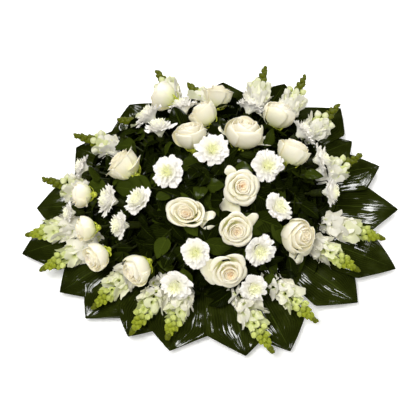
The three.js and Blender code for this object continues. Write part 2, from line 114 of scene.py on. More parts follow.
# Loose outer petals: the rose's number, and the angle, half angle and reach of each that it has.
LOOSE_PETALS = {
    2: ((10, 24, 42),),
    3: ((200, 24, 42),),
    5: ((195, 26, 42), (330, 26, 42)),
    6: ((330, 24, 42),),
    7: ((250, 22, 41), (290, 22, 41)),
    8: ((80, 26, 42),),
    9: ((345, 20, 44), (12, 18, 41)),
    10: ((220, 20, 52), (243, 15, 48), (105, 18, 42)),
    11: ((10, 18, 44),),
    12: ((175, 30, 45), (207, 26, 43)),
    13: ((250, 22, 46), (288, 20, 48)),
    17: ((20, 22, 42),),
}

# The roses that are wider than they are high: their stretch along x and y.
ROSE_STRETCH = {9: (1.12, 0.84)}

# The roses whose heart lies off the middle of the outer petals: how far, along x and y.
ROSE_HEARTS = {5: (-2, 3), 9: (4, -6), 10: (0, 2), 11: (-1, -4), 12: (2, -6), 13: (4, 2)}

# Each bunch of carnations, in the same way.
CARNATION_BUNCHES = [
    [((-159, 52, 0), (-160, 58), 1), ((-129, 44, 0), (-165, 36), 1), ((-136, 59, 0), (-125, 60), 1)],
    [((55, 3, 0), (10, 24), 1), ((-56, 34, 0), (-25, 35), 1), ((74, 41, 0), (30, 36), 1)],
    [((-55, 55, 0), (-100, 40), 1), ((-69, 67, 0), (-90, 66), 1), ((-52, 69, 0), (-76, 74), 0.95)],
    [((-7, 66, 1), (-5, 48), 0.95), ((-14, 79, 2), (-14, 60), 0.95)],
    [((26, 69, 0), (22, 64), 1), ((50, 57, 0), (80, 36), 0.95), ((18, 80, 9), (18, 68), 0.9)],
    [((100, 72, 0), (100, 78), 0.95), ((82, 76, 0), (84, 76), 0.95)],
    [((151, 58, 0), (152, 58), 0.95), ((120, 70, 0), (122, 66), 0.95)],
    [((-75, 81, 19), (-80, 76), 0.68), ((-99, 79, 4), (-102, 76), 0.8)],
]

# Each spike: azimuth where it leaves the foam, azimuth, radius and height of its tip, height of its
# bend, length of the stretch with florets.
SNAPDRAGON_PAIRS = [
    [(-165, -161, 324, 80, 78, 82), (178, -171, 282, 70, 76, 70)],
    [(155, 160, 328, 90, 80, 96), (138, 146, 340, 90, 80, 100)],
    [(122, 130, 330, 80, 76, 96), (96, 107, 302, 75, 72, 90)],
    [(73, 72, 332, 58, 60, 106), (61, 57, 316, 55, 58, 112)],
    [(28, 34, 332, 50, 56, 112), (11, 18, 352, 45, 55, 132)],
    [(-11, -13, 318, 48, 55, 104), (-22, -24, 328, 48, 56, 122)],
    [(-39, -39, 320, 50, 56, 114), (-62, -61, 342, 50, 55, 112)],
    [(-72, -75, 343, 52, 55, 98), (-89, -96, 312, 68, 62, 84)],
    [(-122, -117, 290, 78, 74, 86), (-145, -134, 248, 76, 78, 70)],
]
# Radius and height of the point in the foam where a pair meets, and of where each leaves the foam.
SPIKE_ROOT = (62, 46)
SPIKE_EXIT = (130, 50)
SPIKE_BEND_RADIUS = 205

# Each collar leaf: azimuth, radius of the tip, half width.
COLLAR_LEAVES = [
    (-12, 318, 58), (11, 326, 58), (24, 339, 55), (51, 334, 58), (68, 360, 56), (90, 351, 56),
    (108, 343, 54), (121, 324, 52), (135, 372, 60), (155, 364, 58), (175, 331, 64), (211, 308, 66),
    (240, 296, 66), (270, 319, 62), (287, 352, 55), (306, 323, 52), (319, 324, 50), (334, 314, 50),
]
COLLAR_ROOT_RADIUS = 84
COLLAR_BLADE_RADIUS = 128
COLLAR_HEIGHT = 30
COLLAR_THICKNESS = 1.2
# How a leaf leans to one side, in degrees, arches across, and droops outwards from a radius.
COLLAR_ROLL = 5.5
COLLAR_ARCH = 0.0005
COLLAR_DROOP = 0.00042
COLLAR_DROOP_FROM = 170
# Its outline: shares of its length, and the width at each as a share of its half width.
COLLAR_SHARES = (0, 0.08, 0.3, 0.55, 0.76, 0.9, 1)
COLLAR_WIDTHS = (0.05, 0.3, 0.66, 0.94, 1, 0.45, 0.02)

# Each filler leaf: azimuth and tilt of the foot of its blade, the way it points on the mound
# (0 outwards, 90 towards a greater azimuth), how far it leans from upright, its length.
SPRIGS = [
    [(-93, 35, 180, 45, 38), (-108, 56, 0, 40, 42), (-88, 72, 180, 35, 38), (-146, 38, -20, 30, 46)],
    [(-26, 20, 0, 30, 36), (-10, 31, 0, 35, 36), (2, 41, 90, 25, 36), (60, 24, 0, 35, 36)],
    [(-25, 65, 0, 30, 40), (-36, 59, 180, 30, 38), (-20, 70, 0, 12, 36), (-41, 45, 0, 15, 34)],
    [(66, 56, 180, 30, 38), (65, 67, 0, 40, 42), (86, 65, 0, 12, 34), (107, 45, 90, 30, 36)],
    [(160, 69, 0, 50, 50), (148, 79, 0, 60, 48)],
]
SPRIG_LEAF_SINK = 22
FILLER_ASPECT = 0.72


def color_setting(name, description, default):
    """A colour that a user can change."""
    return bpy.props.FloatVectorProperty(
        name=name, description=description, default=default, subtype="COLOR"
    )


def length_setting(name, description, default):
    """A length that a user can change."""
    return bpy.props.FloatProperty(name=name, description=description, default=default, unit="LENGTH")


class RoseSettings(bpy.types.PropertyGroup):
    """Sizes and colours of the roses."""

    ruffle: length_setting("Ruffle", "How far a petal's rim waves", 0.001)
    thickness: length_setting("Thickness", "Thickness of a petal", 0.0004)
    petal_color: color_setting("Petals", "Ivory of the petals", (0.88, 0.82, 0.64))
    outer_color: color_setting("Outer petals", "Greenish tint of the outer petals", (0.8, 0.82, 0.38))
    heart_color: color_setting("Heart", "Peach tint of an open heart", (0.95, 0.56, 0.18))
    sepal_color: color_setting("Sepals", "Lime green of hips and sepals", (0.42, 0.46, 0.05))


class CarnationSettings(bpy.types.PropertyGroup):
    """Sizes and colours of the carnations."""

    ruffle: length_setting("Ruffle", "How far a petal's fringe waves", 0.0027)
    fringe: bpy.props.FloatProperty(
        name="Fringe", description="Depth of the teeth as a share of a petal", default=0.045, min=0, max=0.3
    )
    petal_color: color_setting("Petals", "Cool white of the petals", (0.87, 0.85, 0.8))
    heart_color: color_setting("Heart", "Pale yellow-green of the heart", (0.9, 0.92, 0.5))


class SnapdragonSettings(bpy.types.PropertyGroup):
    """Counts and colours of the snapdragon spikes."""

    florets: bpy.props.IntProperty(
        name="Florets", description="Open florets on each spike", default=17, min=4, max=40
    )
    buds: bpy.props.IntProperty(
        name="Buds", description="Closed buds on each spike", default=22, min=4, max=60
    )
    petal_color: color_setting("Florets", "White of the open florets", (0.8, 0.78, 0.68))
    young_color: color_setting("Young florets", "Yellow-green of florets about to open", (0.6, 0.66, 0.2))
    bud_color: color_setting("Buds", "Lime green of the closed buds", (0.25, 0.29, 0.012))


class LeafSettings(bpy.types.PropertyGroup):
    """Counts and colours of the leaves and stems."""

    extra_leaves: bpy.props.IntProperty(
        name="Extra leaves", description="Places tried for leaves that hide the foam", default=1700, min=0
    )
    collar_color: color_setting("Collar", "Dark green of the collar", (0.0125, 0.0165, 0.0019))
    rib_color: color_setting("Ribs", "Lighter green of the collar's ribs", (0.045, 0.062, 0.008))
    filler_color: color_setting("Filler leaves", "Green of the filler leaves", (0.0046, 0.0066, 0.0009))
    bright_color: color_setting("Bright leaves", "Green of the brightest leaves", (0.042, 0.06, 0.006))
    stem_color: color_setting("Stems", "Green of the stems", (0.013, 0.017, 0.002))


class StageSettings(bpy.types.PropertyGroup):
    """The studio: camera, lights and floor."""

    elevation: bpy.props.FloatProperty(
        name="Camera elevation",
        description="Angle of the camera above the table",
        default=math.radians(51),
        subtype="ANGLE",
    )
    distance: length_setting("Camera distance", "From the camera to its target", 2.2)
    view_width: length_setting("View width", "Width of the picture at the target", 0.781)
    key_power: bpy.props.FloatProperty(
        name="Key light", description="Power of the main softbox in watts", default=54, min=0
    )
    ambient: bpy.props.FloatProperty(
        name="Ambient light", description="Strength of the even light all round", default=0.1, min=0
    )
    floor_color: color_setting("Floor", "Pale colour of the floor", (0.9, 0.9, 0.89))


def direction(azimuth, tilt):
    a, t = math.radians(azimuth), math.radians(tilt)
    return np.array([math.sin(a) * math.sin(t), -math.cos(a) * math.sin(t), math.cos(t)])


def polar(azimuth, radius, height):
    a = math.radians(azimuth)
    return np.array([math.sin(a) * radius, -math.cos(a) * radius, height])


def unit(vector):
    return vector / np.linalg.norm(vector)


def grid(rows, columns):
    """Shares along a sheet from 0 to 1, as a column, and across it from -1 to 1, as a row."""
    return np.linspace(0, 1, rows)[:, None], np.linspace(-1, 1, columns)[None, :]


def around(count):
    """Angles at even steps round an axis, as a row."""
    return np.arange(count)[None, :] * FULL_TURN / count


def dome_point(azimuth, tilt):
    """The point of the dome that a ray from the focus meets."""
    ray = direction(azimuth, tilt)
    a = (ray[0] ** 2 + ray[1] ** 2) / DOME_RADIUS**2 + ray[2] ** 2 / DOME_HEIGHT**2
    b = 2 * FOCUS[2] * ray[2] / DOME_HEIGHT**2
    c = FOCUS[2] ** 2 / DOME_HEIGHT**2 - 1
    return FOCUS + ray * (-b + math.sqrt(b * b - 4 * a * c)) / (2 * a)


class Place:
    """A local frame with its z along an axis, and its x level or as near as can be to the one given."""

    def __init__(self, origin, axis, x=None):
        self.origin = origin
        self.z = unit(axis)
        x = np.cross([0, 0, 1], self.z) if x is None else x
        self.x = unit(x - (x @ self.z) * self.z)
        self.y = np.cross(self.z, self.x)

    def put(self, radius, angle, height):
        """Points from arrays of radius, angle and height round the axis."""
        radius, angle, height = np.broadcast_arrays(radius, angle, height)
        return (
            self.origin
            + (radius * np.cos(angle))[..., None] * self.x
            + (radius * np.sin(angle))[..., None] * self.y
            + height[..., None] * self.z
        )


def bloom_place(at, faces, depth):
    """Where a bloom stands: the place of its face, and its neck."""
    azimuth, tilt, lift = at
    face = Place(dome_point(azimuth, tilt) + lift * direction(azimuth, tilt), direction(*faces))
    return face, face.origin - face.z * depth


def hub_of(places):
    """The point inside the foam where the stems of a bunch or sprig meet."""
    return FOCUS + unit(sum(direction(azimuth, tilt) for azimuth, tilt, *_ in places)) * HUB_DISTANCE


def cubic(share, *points):
    """Radius and height along a cubic Bezier curve, for an array of shares."""
    rest = 1 - share
    weights = (rest**3, 3 * share * rest**2, 3 * share**2 * rest, share**3)
    radius = sum(weight * point[0] for weight, point in zip(weights, points))
    height = sum(weight * point[1] for weight, point in zip(weights, points))
    return radius, height


MARKS = ("across", "along", "layer", "chance", "warmth")


class Sheaf:
    """Grids of points gathered into one mesh, with the marks that its materials read."""

    def __init__(self):
        self.points = []
        self.quads = []
        self.slots = []
        self.marks = {mark: [] for mark in MARKS}
        self.count = 0

    def add(self, points, slot, closed=False, **marks):
        """Adds a grid of rows and columns. In a closed one, the last column meets the first."""
        rows, columns = points.shape[:2]
        index = self.count + np.arange(rows * columns).reshape(rows, columns)
        if closed:
            index = np.hstack([index, index[:, :1]])
        corners = (index[:-1, :-1], index[:-1, 1:], index[1:, 1:], index[1:, :-1])
        quads = np.stack(corners, axis=-1).reshape(-1, 4)
        along, across = grid(rows, columns)
        known = {"across": across, "along": along, **marks}
        for mark in MARKS:
            values = np.broadcast_to(known.get(mark, 0.0), (rows, columns))
            self.marks[mark].append(values.ravel())
        self.points.append(points.reshape(-1, 3))
        self.quads.append(quads)
        self.slots.append(np.full(len(quads), slot))
        self.count += rows * columns

    def tube(self, path, radii, slot, sides=8, **marks):
        """Adds a round stem through the points of a path."""
        path = [np.asarray(point, float) for point in path]
        angle = around(sides)[0]
        rings = []
        for i, point in enumerate(path):
            ahead = path[min(i + 1, len(path) - 1)]
            behind = path[max(i - 1, 0)]
            rings.append(Place(point, ahead - behind).put(radii[i], angle, 0.0))
        self.add(np.array(rings), slot, closed=True, across=np.sin(angle)[None, :], **marks)

    def lathe(self, place, profile, size, slot, sides=12, **marks):
        """Adds a round form from its profile of radius and height, and its size."""
        angle = around(sides)
        radius, height = size * np.array(profile).T[:, :, None]
        self.add(place.put(radius, angle, height), slot, closed=True, across=np.sin(angle), **marks)

    def build(self, name, materials, slot, nodes=(), thickness=0.0):
        """Makes the mesh, has it ride on the frame, and lets it stand for CAD nodes."""
        mesh = bpy.data.meshes.new(name)
        mesh.from_pydata(np.concatenate(self.points) * MM, [], np.concatenate(self.quads))
        for mark, values in self.marks.items():
            attribute = mesh.attributes.new(mark, "FLOAT", "POINT")
            attribute.data.foreach_set("value", np.concatenate(values).astype(np.float32))
        for material in materials:
            mesh.materials.append(material)
        mesh.polygons.foreach_set("material_index", np.concatenate(self.slots).astype(np.int32))
        mesh.shade_smooth()
        piece = bpy.data.objects.new(name, mesh)
        bpy.context.scene.collection.objects.link(piece)
        if thickness:
            solidify = piece.modifiers.new("Thickness", "SOLIDIFY")
            solidify.thickness = thickness * MM
            solidify.offset = 0
        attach(piece, "root")
        if nodes:
            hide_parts(*nodes)


def math_method(operation, reflected=False):
    """An arithmetic operator of Value, which adds a Math node."""

    def method(value, other):
        terms = (other, value) if reflected else (value, other)
        return value.calculate(operation, *terms)

    return method


class Value:
    """A number that varies over a surface. Arithmetic on it adds Math nodes to its finish."""

    __add__ = math_method("ADD")
    __radd__ = math_method("ADD", reflected=True)
    __sub__ = math_method("SUBTRACT")
    __rsub__ = math_method("SUBTRACT", reflected=True)
    __mul__ = math_method("MULTIPLY")
    __rmul__ = math_method("MULTIPLY", reflected=True)
    __pow__ = math_method("POWER")

    def __init__(self, finish, socket):
        self.finish = finish
        self.socket = socket

    def calculate(self, operation, *terms):
        return self.finish.node("ShaderNodeMath", {"operation": operation}, dict(enumerate(terms)))

    def sine(self):
        return self.calculate("SINE", self)

    def size(self):
        return self.calculate("ABSOLUTE", self)

    def within(self, low, high):
        """0 below low, 1 above high, and a smooth step between."""
        inputs = {"Value": self, "From Min": low, "From Max": high}
        return self.finish.node("ShaderNodeMapRange", {"interpolation_type": "SMOOTHSTEP"}, inputs)


class Finish:
    """A material, with one method that makes each of its nodes."""

    def __init__(self, name):
        self.material = bpy.data.materials.new(name)
        self.material.use_nodes = True
        self.tree = self.material.node_tree
        self.shader = self.tree.nodes["Principled BSDF"]

    def node(self, kind, settings, inputs, output=0):
        made = self.tree.nodes.new(kind)
        for name, value in settings.items():
            setattr(made, name, value)
        for key, value in inputs.items():
            self.feed(made.inputs[key], value)
        return Value(self, made.outputs[output])

    def feed(self, socket, value):
        if isinstance(value, Value):
            self.tree.links.new(value.socket, socket)
        else:
            socket.default_value = value

    def marks(self, *names):
        """Reads the marks that Sheaf leaves on each point."""
        for name in names:
            settings = {"attribute_name": name, "attribute_type": "GEOMETRY"}
            yield self.node("ShaderNodeAttribute", settings, {}, "Fac")

    def place(self):
        return self.node("ShaderNodeTexCoord", {}, {}, "Object")

    def vector(self, x, y, z):
        return self.node("ShaderNodeCombineXYZ", {}, {"X": x, "Y": y, "Z": z})

    def noise(self, vector, scale, detail):
        inputs = {"Vector": vector, "Scale": scale, "Detail": detail}
        return self.node("ShaderNodeTexNoise", {}, inputs, "Fac")

    def mix(self, share, first, second):
        """Blends two colours."""
        first, second = (value if isinstance(value, Value) else (*value, 1) for value in (first, second))
        inputs = {0: share, 6: first, 7: second}
        return self.node("ShaderNodeMix", {"data_type": "RGBA"}, inputs, 2)

    def bump(self, height, depth, strength):
        """Relief, from a height of 0 to 1 and the depth in millimetres that it stands for."""
        inputs = {"Height": height, "Distance": depth * MM, "Strength": strength}
        return self.node("ShaderNodeBump", {}, inputs)

    def done(self, **inputs):
        """Sets the shader's sockets, and returns the material."""
        for name, value in inputs.items():
            self.feed(self.shader.inputs[name.replace("_", " ")], value)
        return self.material


# Painted glow: the petals give off light in their own colours. It stands in for the light that thin petals
# let through and pass on to each other, and it lifts the shade inside the blooms.
PETAL_GLOW = 0.09
# How much brighter or darker than a setting's own colour some parts are.
# Painted glow: the carnation hearts give off light this much brighter than their own colour, lifting the
# shade between their crowded petals.
CARNATION_HEART_GLOW = 2.6
TIP_BUD_SHADE = 0.4
STEM_MOTTLE = 1.9
COLLAR_BLOTCH = 2.1
FILLER_RIB = 1.6
FOAM_DARK = (0.012, 0.045, 0.016)
FOAM_LIGHT = (0.035, 0.1, 0.04)
FOAM_PORE = (0.006, 0.02, 0.008)
DISH_GREEN = (0.008, 0.022, 0.012)
DISH_WATER_MARK = (0.025, 0.045, 0.03)


def shade(color, share):
    return tuple(share * channel for channel in color)


def petal_streaks(finish, count):
    """Fine streaks that run along a petal, different on each."""
    across, along, chance = finish.marks("across", "along", "chance")
    return finish.noise(finish.vector(across * count, along * 1.6, chance * 40), 1.0, 3.0)


def rose_finish(settings):
    finish = Finish("Rose petal")
    along, layer, chance, warmth = finish.marks("along", "layer", "chance", "warmth")
    streaks = petal_streaks(finish, 9)
    outer = layer.within(0.6, 1.3) * (1.3 - along) * 0.4 + chance.within(0.65, 1) * 0.12
    base = (1 - along).within(0.5, 0.95) * layer.within(0.2, 0.8)
    heart = (1 - layer).within(0.38, 0.92) * warmth
    tint = outer + base * 0.7 + (streaks - 0.5) * 0.16
    color = finish.mix(tint, settings.petal_color, settings.outer_color)
    color = finish.mix(heart * (1.05 - along * 0.75), color, settings.heart_color)
    return finish.done(
        Base_Color=color,
        Roughness=0.5 + streaks * 0.15,
        Normal=finish.bump(streaks, 0.25, 0.4),
        Subsurface_Weight=0.25,
        Subsurface_Radius=(0.005, 0.004, 0.002),
        Subsurface_Scale=1.0,
        # painted glow in the petal colour, lifting the shade between the petals
        Emission_Color=color,
        Emission_Strength=PETAL_GLOW,
    )


def carnation_finish(settings):
    finish = Finish("Carnation petal")
    along, layer = finish.marks("along", "layer")
    streaks = petal_streaks(finish, 14)
    heart = (1 - layer).within(0.3, 0.9) * 0.55 + (1 - along).within(0.5, 1) * 0.2
    color = finish.mix(heart * (1.15 - along * 0.5), settings.petal_color, settings.heart_color)
    # the colour of the painted glow in the heart
    painted_heart_glow = shade(settings.heart_color, CARNATION_HEART_GLOW)
    return finish.done(
        Base_Color=color,
        Roughness=0.6 + streaks * 0.15,
        Normal=finish.bump(streaks, 0.3, 0.4),
        # painted glow, brighter towards the heart, lifting the shade between the petals
        Emission_Color=finish.mix(heart * 1.4, settings.petal_color, painted_heart_glow),
        Emission_Strength=PETAL_GLOW,
    )


def snapdragon_finish(settings):
    """White lips on the open florets, and tubes and buds that are greener towards the tip."""
    finish = Finish("Snapdragon floret")
    along, layer = finish.marks("along", "layer")
    streaks = petal_streaks(finish, 8)
    opened = layer.within(0.32, 0.7) * along.within(0.0, 0.5) + (streaks - 0.5) * 0.3
    lime = 1 - layer.within(0.24, 0.4) + (1 - along).within(0.75, 1) * 0.4
    color = finish.mix(opened, settings.young_color, settings.petal_color)
    color = finish.mix(lime * (0.75 + streaks * 0.4), color, settings.bud_color)
    color = finish.mix(1 - layer.within(0.03, 0.14), color, shade(settings.bud_color, TIP_BUD_SHADE))
    return finish.done(
        Base_Color=color,
        Roughness=0.45 + streaks * 0.2,
        Specular_IOR_Level=0.05,
        Normal=finish.bump(streaks, 0.3, 0.5),
        # painted glow in the floret colour, lifting the shade between the florets
        Emission_Color=color,
        Emission_Strength=PETAL_GLOW,
    )


def stem_finish(name, stem_color):
    finish = Finish(name)
    mottle = finish.noise(finish.place(), 260.0, 3.0)
    return finish.done(
        Base_Color=finish.mix(mottle.within(0.35, 0.7), stem_color, shade(stem_color, STEM_MOTTLE)),
        Roughness=0.5 + mottle * 0.2,
        Specular_IOR_Level=0.05,
        Normal=finish.bump(mottle, 0.3, 0.4),
    )


def collar_finish(settings):
    """A wet broad leaf: a pale midrib, fine veins that run with it, a coat that glints, and a painted
    highlight on its outer edges.
    """
    finish = Finish("Collar leaf")
    across, along, chance = finish.marks("across", "along", "chance")
    blotch = finish.noise(finish.place(), 28.0, 4.0)
    wet = finish.noise(finish.vector(across * 26, along * 3.5, chance * 60), 1.0, 4.0)
    veins = ((across * 70 + blotch * 3).sine() * 0.5 + 0.5) ** 3
    rib = 1 - across.size().within(0.0, 0.05)
    lit = shade(settings.collar_color, COLLAR_BLOTCH)
    tone = finish.mix(blotch.within(0.35, 0.7), settings.collar_color, lit)
    color = finish.mix(veins * 0.3 + rib * 0.85, tone, settings.rib_color)
    # Painted highlight: the outer edges towards the tip are lightened towards the rib colour.
    edge = (across.size() * along).within(0.82, 1.0)
    color = finish.mix(edge * 0.4, color, settings.rib_color)
    return finish.done(
        Base_Color=color,
        Roughness=0.4 + wet * 0.25,
        Specular_IOR_Level=0.0,
        Normal=finish.bump(veins * 0.4 + rib + wet * 1.2, 1.0, 0.9),
        Coat_Weight=(wet + blotch).within(1.08, 1.18) * 0.8,
        Coat_Roughness=0.09,
    )


def filler_finish(settings):
    """A small glossy leaf with a midrib and slanting veins. Its own chance sets how bright it is."""
    finish = Finish("Filler leaf")
    across, along, chance = finish.marks("across", "along", "chance")
    blotch = finish.noise(finish.place(), 60.0, 3.0)
    veins = (((along * 9 - across.size() * 3.2) * FULL_TURN).sine() * 0.5 + 0.5) ** 4
    rib = 1 - across.size().within(0.0, 0.09)
    fresh = chance.within(0.62, 1.0) + (blotch - 0.5) * 0.3
    tone = finish.mix(fresh, settings.filler_color, settings.bright_color)
    color = finish.mix(veins * 0.18 + rib * 0.4, tone, shade(settings.bright_color, FILLER_RIB))
    return finish.done(
        Base_Color=color,
        Roughness=0.4 + blotch * 0.2,
        Specular_IOR_Level=0.0,
        Normal=finish.bump(veins * 0.5 - rib * 0.8, 0.4, 0.6),
        Coat_Weight=blotch.within(0.5, 0.7) * 0.14,
        Coat_Roughness=0.16,
    )


def foam_finish():
    finish = Finish("Wet floral foam")
    place = finish.place()
    pores = finish.node("ShaderNodeTexVoronoi", {}, {"Vector": place, "Scale": 700.0}, "Distance")
    crumb = finish.noise(place, 45.0, 5.0)
    color = finish.mix(crumb.within(0.3, 0.7), FOAM_DARK, FOAM_LIGHT)
    return finish.done(
        Base_Color=finish.mix(1 - pores.within(0.1, 0.5), color, FOAM_PORE),
        Roughness=0.75 + crumb * 0.2,
        Normal=finish.bump(pores.within(0.0, 0.6) + crumb, 0.8, 0.8),
    )


def dish_finish():
    """Dark green moulded plastic with a fine grain, and blotches of water marks all over."""
    finish = Finish("Moulded dish")
    place = finish.place()
    grain = finish.noise(place, 1500.0, 2.0)
    marks = finish.noise(place, 40.0, 5.0)
    return finish.done(
        Base_Color=finish.mix(marks.within(0.45, 0.75) * 0.6, DISH_GREEN, DISH_WATER_MARK),
        Roughness=0.32 + marks * 0.25,
        Normal=finish.bump(grain, 0.08, 0.4),
    )


ROSE_DEPTH = 54
ROSE_ROWS = 12
ROSE_COLUMNS = 15
# Rings of petals from the heart outwards: petals, half angle of each in degrees, radius and height of
# the rim of a full rose and of a bud, and how far the rim rolls back.
ROSE_RINGS = (
    (3, 150, (2.9, 0.6), (2.4, 1.5), 0.2),
    (3, 124, (5.6, 1.6), (4.4, 3.0), 0.4),
    (4, 94, (9.2, 1.6), (6.8, 4.0), 0.7),
    (4, 80, (13.8, 0.2), (10.0, 4.4), 1.2),
    (4, 68, (22.0, -4.2), (14.5, 3.8), 2.2),
    (5, 54, (31.0, -11.0), (19.5, 1.0), 2.5),
)
ROSE_HIP = ((2.8, -54), (5.0, -52), (6.8, -48.5), (6.6, -45), (5, -40))
ROSE_STEM_RADII = (3, 2.9, 2.6)
ROSE_HEART_RADIUS = 1.5
# A loose petal: the start of its curve, how far inside the rim and at which height it bends, the
# range of heights of its rim, its layer for the tint, and how far it rolls back.
LOOSE_START = ((5, -41), (20, -38))
LOOSE_BEND = (10, -24)
LOOSE_RIM = (-32, -26)
LOOSE_LAYER = 1.15
LOOSE_ROLL = 2.5
SEPALS = 5
SEPAL_CURVE = ((5.5, -46), (11, -47), (17, -43), (20, -36))
SEPAL_HALF_WIDTH = 4.8


def rose_path(ring, layer, inner, reach, height, opening):
    """The curve of a petal from the hip to its rim, between those of a closed rose and an open one."""
    far = ring / (len(ROSE_RINGS) - 1)
    belly = 1.5 + 14 * far**2.2
    closed = np.array([reach + 19 * far**1.2, height - 6 - 6 * far])
    opened = np.array([0.72 * inner + 0.1 * belly, height - 8 + 3.2 * ring])
    return (
        (3 + 2 * layer, -28 - 14 * layer),
        (0.85 * inner + belly * (1 - 0.45 * opening), -27 - 12 * layer),
        closed + opening * (opened - closed),
        (reach, height),
    )


def rose_petal(sheaf, face, size, path, half_angle, turn, layer, chance, warmth, ruffle, roll, shift=0):
    """One petal: a curved sheet that wraps round the bloom's axis, with a rim that rolls back."""
    along, across = grid(ROSE_ROWS, ROSE_COLUMNS)
    along = along**0.8
    side = np.abs(across)
    share = along * (1 - 0.2 * side**2.6 + 0.05 * (1 - side) ** 3)
    radius, height = cubic(share, *path)
    rolled = roll * np.clip((share - 0.72) / 0.28, 0, 1) ** 2 * (0.7 + 0.5 * side**2)
    wave = share**3 * ruffle
    phase = chance * FULL_TURN
    radius = radius + rolled + wave * np.sin(3.1 * across + phase)
    radius = radius * (1 + across * (0.1 + 0.05 * (1 - min(layer, 1))))
    height = height - 0.6 * rolled + wave * np.sin(2.7 * across + 2 * phase)
    spread = half_angle * (0.55 + 0.45 * np.clip(share / 0.6, 0, 1))
    points = face.put(size * radius, turn + across * spread, size * height)
    sheaf.add(points + shift, 0, layer=layer, chance=chance, warmth=warmth)


def rose(sheaf, row, number, settings, draw):
    at, faces, size, opening, warmth = row
    face, neck = bloom_place(at, faces, ROSE_DEPTH * size)
    foot = FOCUS + unit(neck - FOCUS) * STEM_START
    wider, lower = ROSE_STRETCH.get(number, (1, 1))
    face.x, face.y = wider * face.x, lower * face.y
    heart_x, heart_y = ROSE_HEARTS.get(number, (0, 0))
    off_middle = heart_x * face.x + heart_y * face.y
    ruffle = settings.ruffle / MM
    start = draw.uniform(0, FULL_TURN)
    inner = ROSE_HEART_RADIUS
    for ring, (count, half_angle, full, closed, roll) in enumerate(ROSE_RINGS):
        rim, top = (bud_value + opening * (value - bud_value) for value, bud_value in zip(full, closed))
        shift = (1 - ring / (len(ROSE_RINGS) - 1)) * off_middle
        for k in range(count):
            layer = (ring + k / count) / len(ROSE_RINGS)
            reach = rim * draw.uniform(0.94, 1.06)
            height = top + draw.uniform(-1, 1) * (0.4 + 1.6 * layer)
            path = rose_path(ring, layer, inner, reach, height, opening)
            turn = start + 0.75 * ring + (k + draw.uniform(-0.12, 0.12)) * FULL_TURN / count
            rose_petal(
                sheaf, face, size, path, math.radians(half_angle), turn, layer,
                draw.uniform(), warmth, ruffle, roll * (0.6 + 0.4 * opening), shift,
            )
        inner = rim
    for angle, half_angle, reach in LOOSE_PETALS.get(number, ()):
        path = (*LOOSE_START, (reach - LOOSE_BEND[0], LOOSE_BEND[1]), (reach, draw.uniform(*LOOSE_RIM)))
        rose_petal(
            sheaf, face, size, path, math.radians(half_angle), math.radians(angle), LOOSE_LAYER,
            draw.uniform(), 0, 2 * ruffle, LOOSE_ROLL,
        )
    sheaf.tube([foot, neck, neck + 3 * face.z], [size * radius for radius in ROSE_STEM_RADII], 1)
    sheaf.lathe(face, ROSE_HIP, size, 2)
    for k in range(SEPALS):
        sepal(sheaf, face, size, start + k * FULL_TURN / SEPALS, draw.uniform(0.85, 1.1))


def sepal(sheaf, face, size, turn, reach):
    """A narrow sepal that lies against the underside of a rose."""
    along, across = grid(7, 4)
    first, *others = SEPAL_CURVE
    radius, height = cubic(along, first, *((r * reach, h) for r, h in others))
    half_width = SEPAL_HALF_WIDTH * (1 - along) ** 0.7 + 0.15
    lift = 1.2 * np.abs(across)
    angle = turn + across * half_width / radius
    sheaf.add(face.put(size * radius, angle, size * (height + lift)), 2)


CARNATION_DEPTH = 50
CARNATION_ROWS = 8
# Rings of petals from the heart outwards: petals, columns of points in each, radius and height of the
# rim, half width of a petal, and how strongly it is ruffled.
CARNATION_RINGS = (
    (4, 9, 3.0, 5.0, 4.5, 1.0),
    (6, 15, 7.5, 5.2, 8.0, 1.5),
    (7, 19, 12.5, 4.0, 11.0, 1.8),
    (7, 23, 18.0, 1.0, 13.0, 1.6),
    (6, 27, 24.0, -4.0, 19.0, 1.3),
    (6, 33, 30.0, -9.5, 21.0, 1.1),
)
CARNATION_CALYX = ((2.2, -50), (4.2, -48), (6.4, -45), (6.8, -36), (7.6, -27), (8.4, -24.5))
CARNATION_STEM_RADII = (2.3, 2.2, 2)
CLEFT_DEPTH = 0.32
CLEFT_WIDTH = 0.1


def carnation_petal(sheaf, face, size, ring, turn, layer, chance, settings):
    """One petal: a narrow claw in the calyx, then a ruffled fan with a fringed edge."""
    _, columns, rim, top, half_width, strength = ring
    rim = rim * (0.83 + 0.27 * chance)
    half_width = half_width * (0.85 + 0.4 * (chance * 7 % 1))
    top = top + 5 * (chance * 3 % 1 - 0.5)
    along, across = grid(CARNATION_ROWS, columns)
    along = along**0.75
    side = np.abs(across)
    notch = (np.arange(columns)[None, :] % 2) * (0.6 + 0.4 * np.sin(across * 9 + chance * 30))
    lobes = 0.04 * np.cos(across * (4 + 4 * chance) + chance * 12)
    cleft_at = 1.2 * math.sin(chance * 60)
    cleft = CLEFT_DEPTH * np.exp(-(((across - cleft_at) / CLEFT_WIDTH) ** 2))
    rim_shape = lobes - cleft * layer - settings.fringe * notch * along**3
    share = along * (1 - 0.27 * side**4) + along**4 * rim_shape
    path = (
        (2.5, -12 - 15 * layer),
        (4 + 6 * layer, -8 - 5 * layer),
        (rim * (0.8 - 0.2 * layer), top - 7 * (1 - layer) + 2.5 * layer),
        (rim, top),
    )
    radius, height = cubic(share, *path)
    spread = half_width * (0.12 + 0.88 * share**1.1) / np.maximum(radius, 0.55 * rim)
    ruffle = settings.ruffle / MM * strength * share**2
    waves = np.sin((6 + 4 * chance) * across + chance * 20) + 0.5 * np.sin(17 * across + chance * 50)
    lean = 0.1 + 0.7 * layer
    radius = radius + ruffle * waves * (1 - lean)
    height = height + ruffle * waves * lean
    points = face.put(size * radius, turn + across * spread, size * height)
    sheaf.add(points, 0, layer=layer, chance=chance)


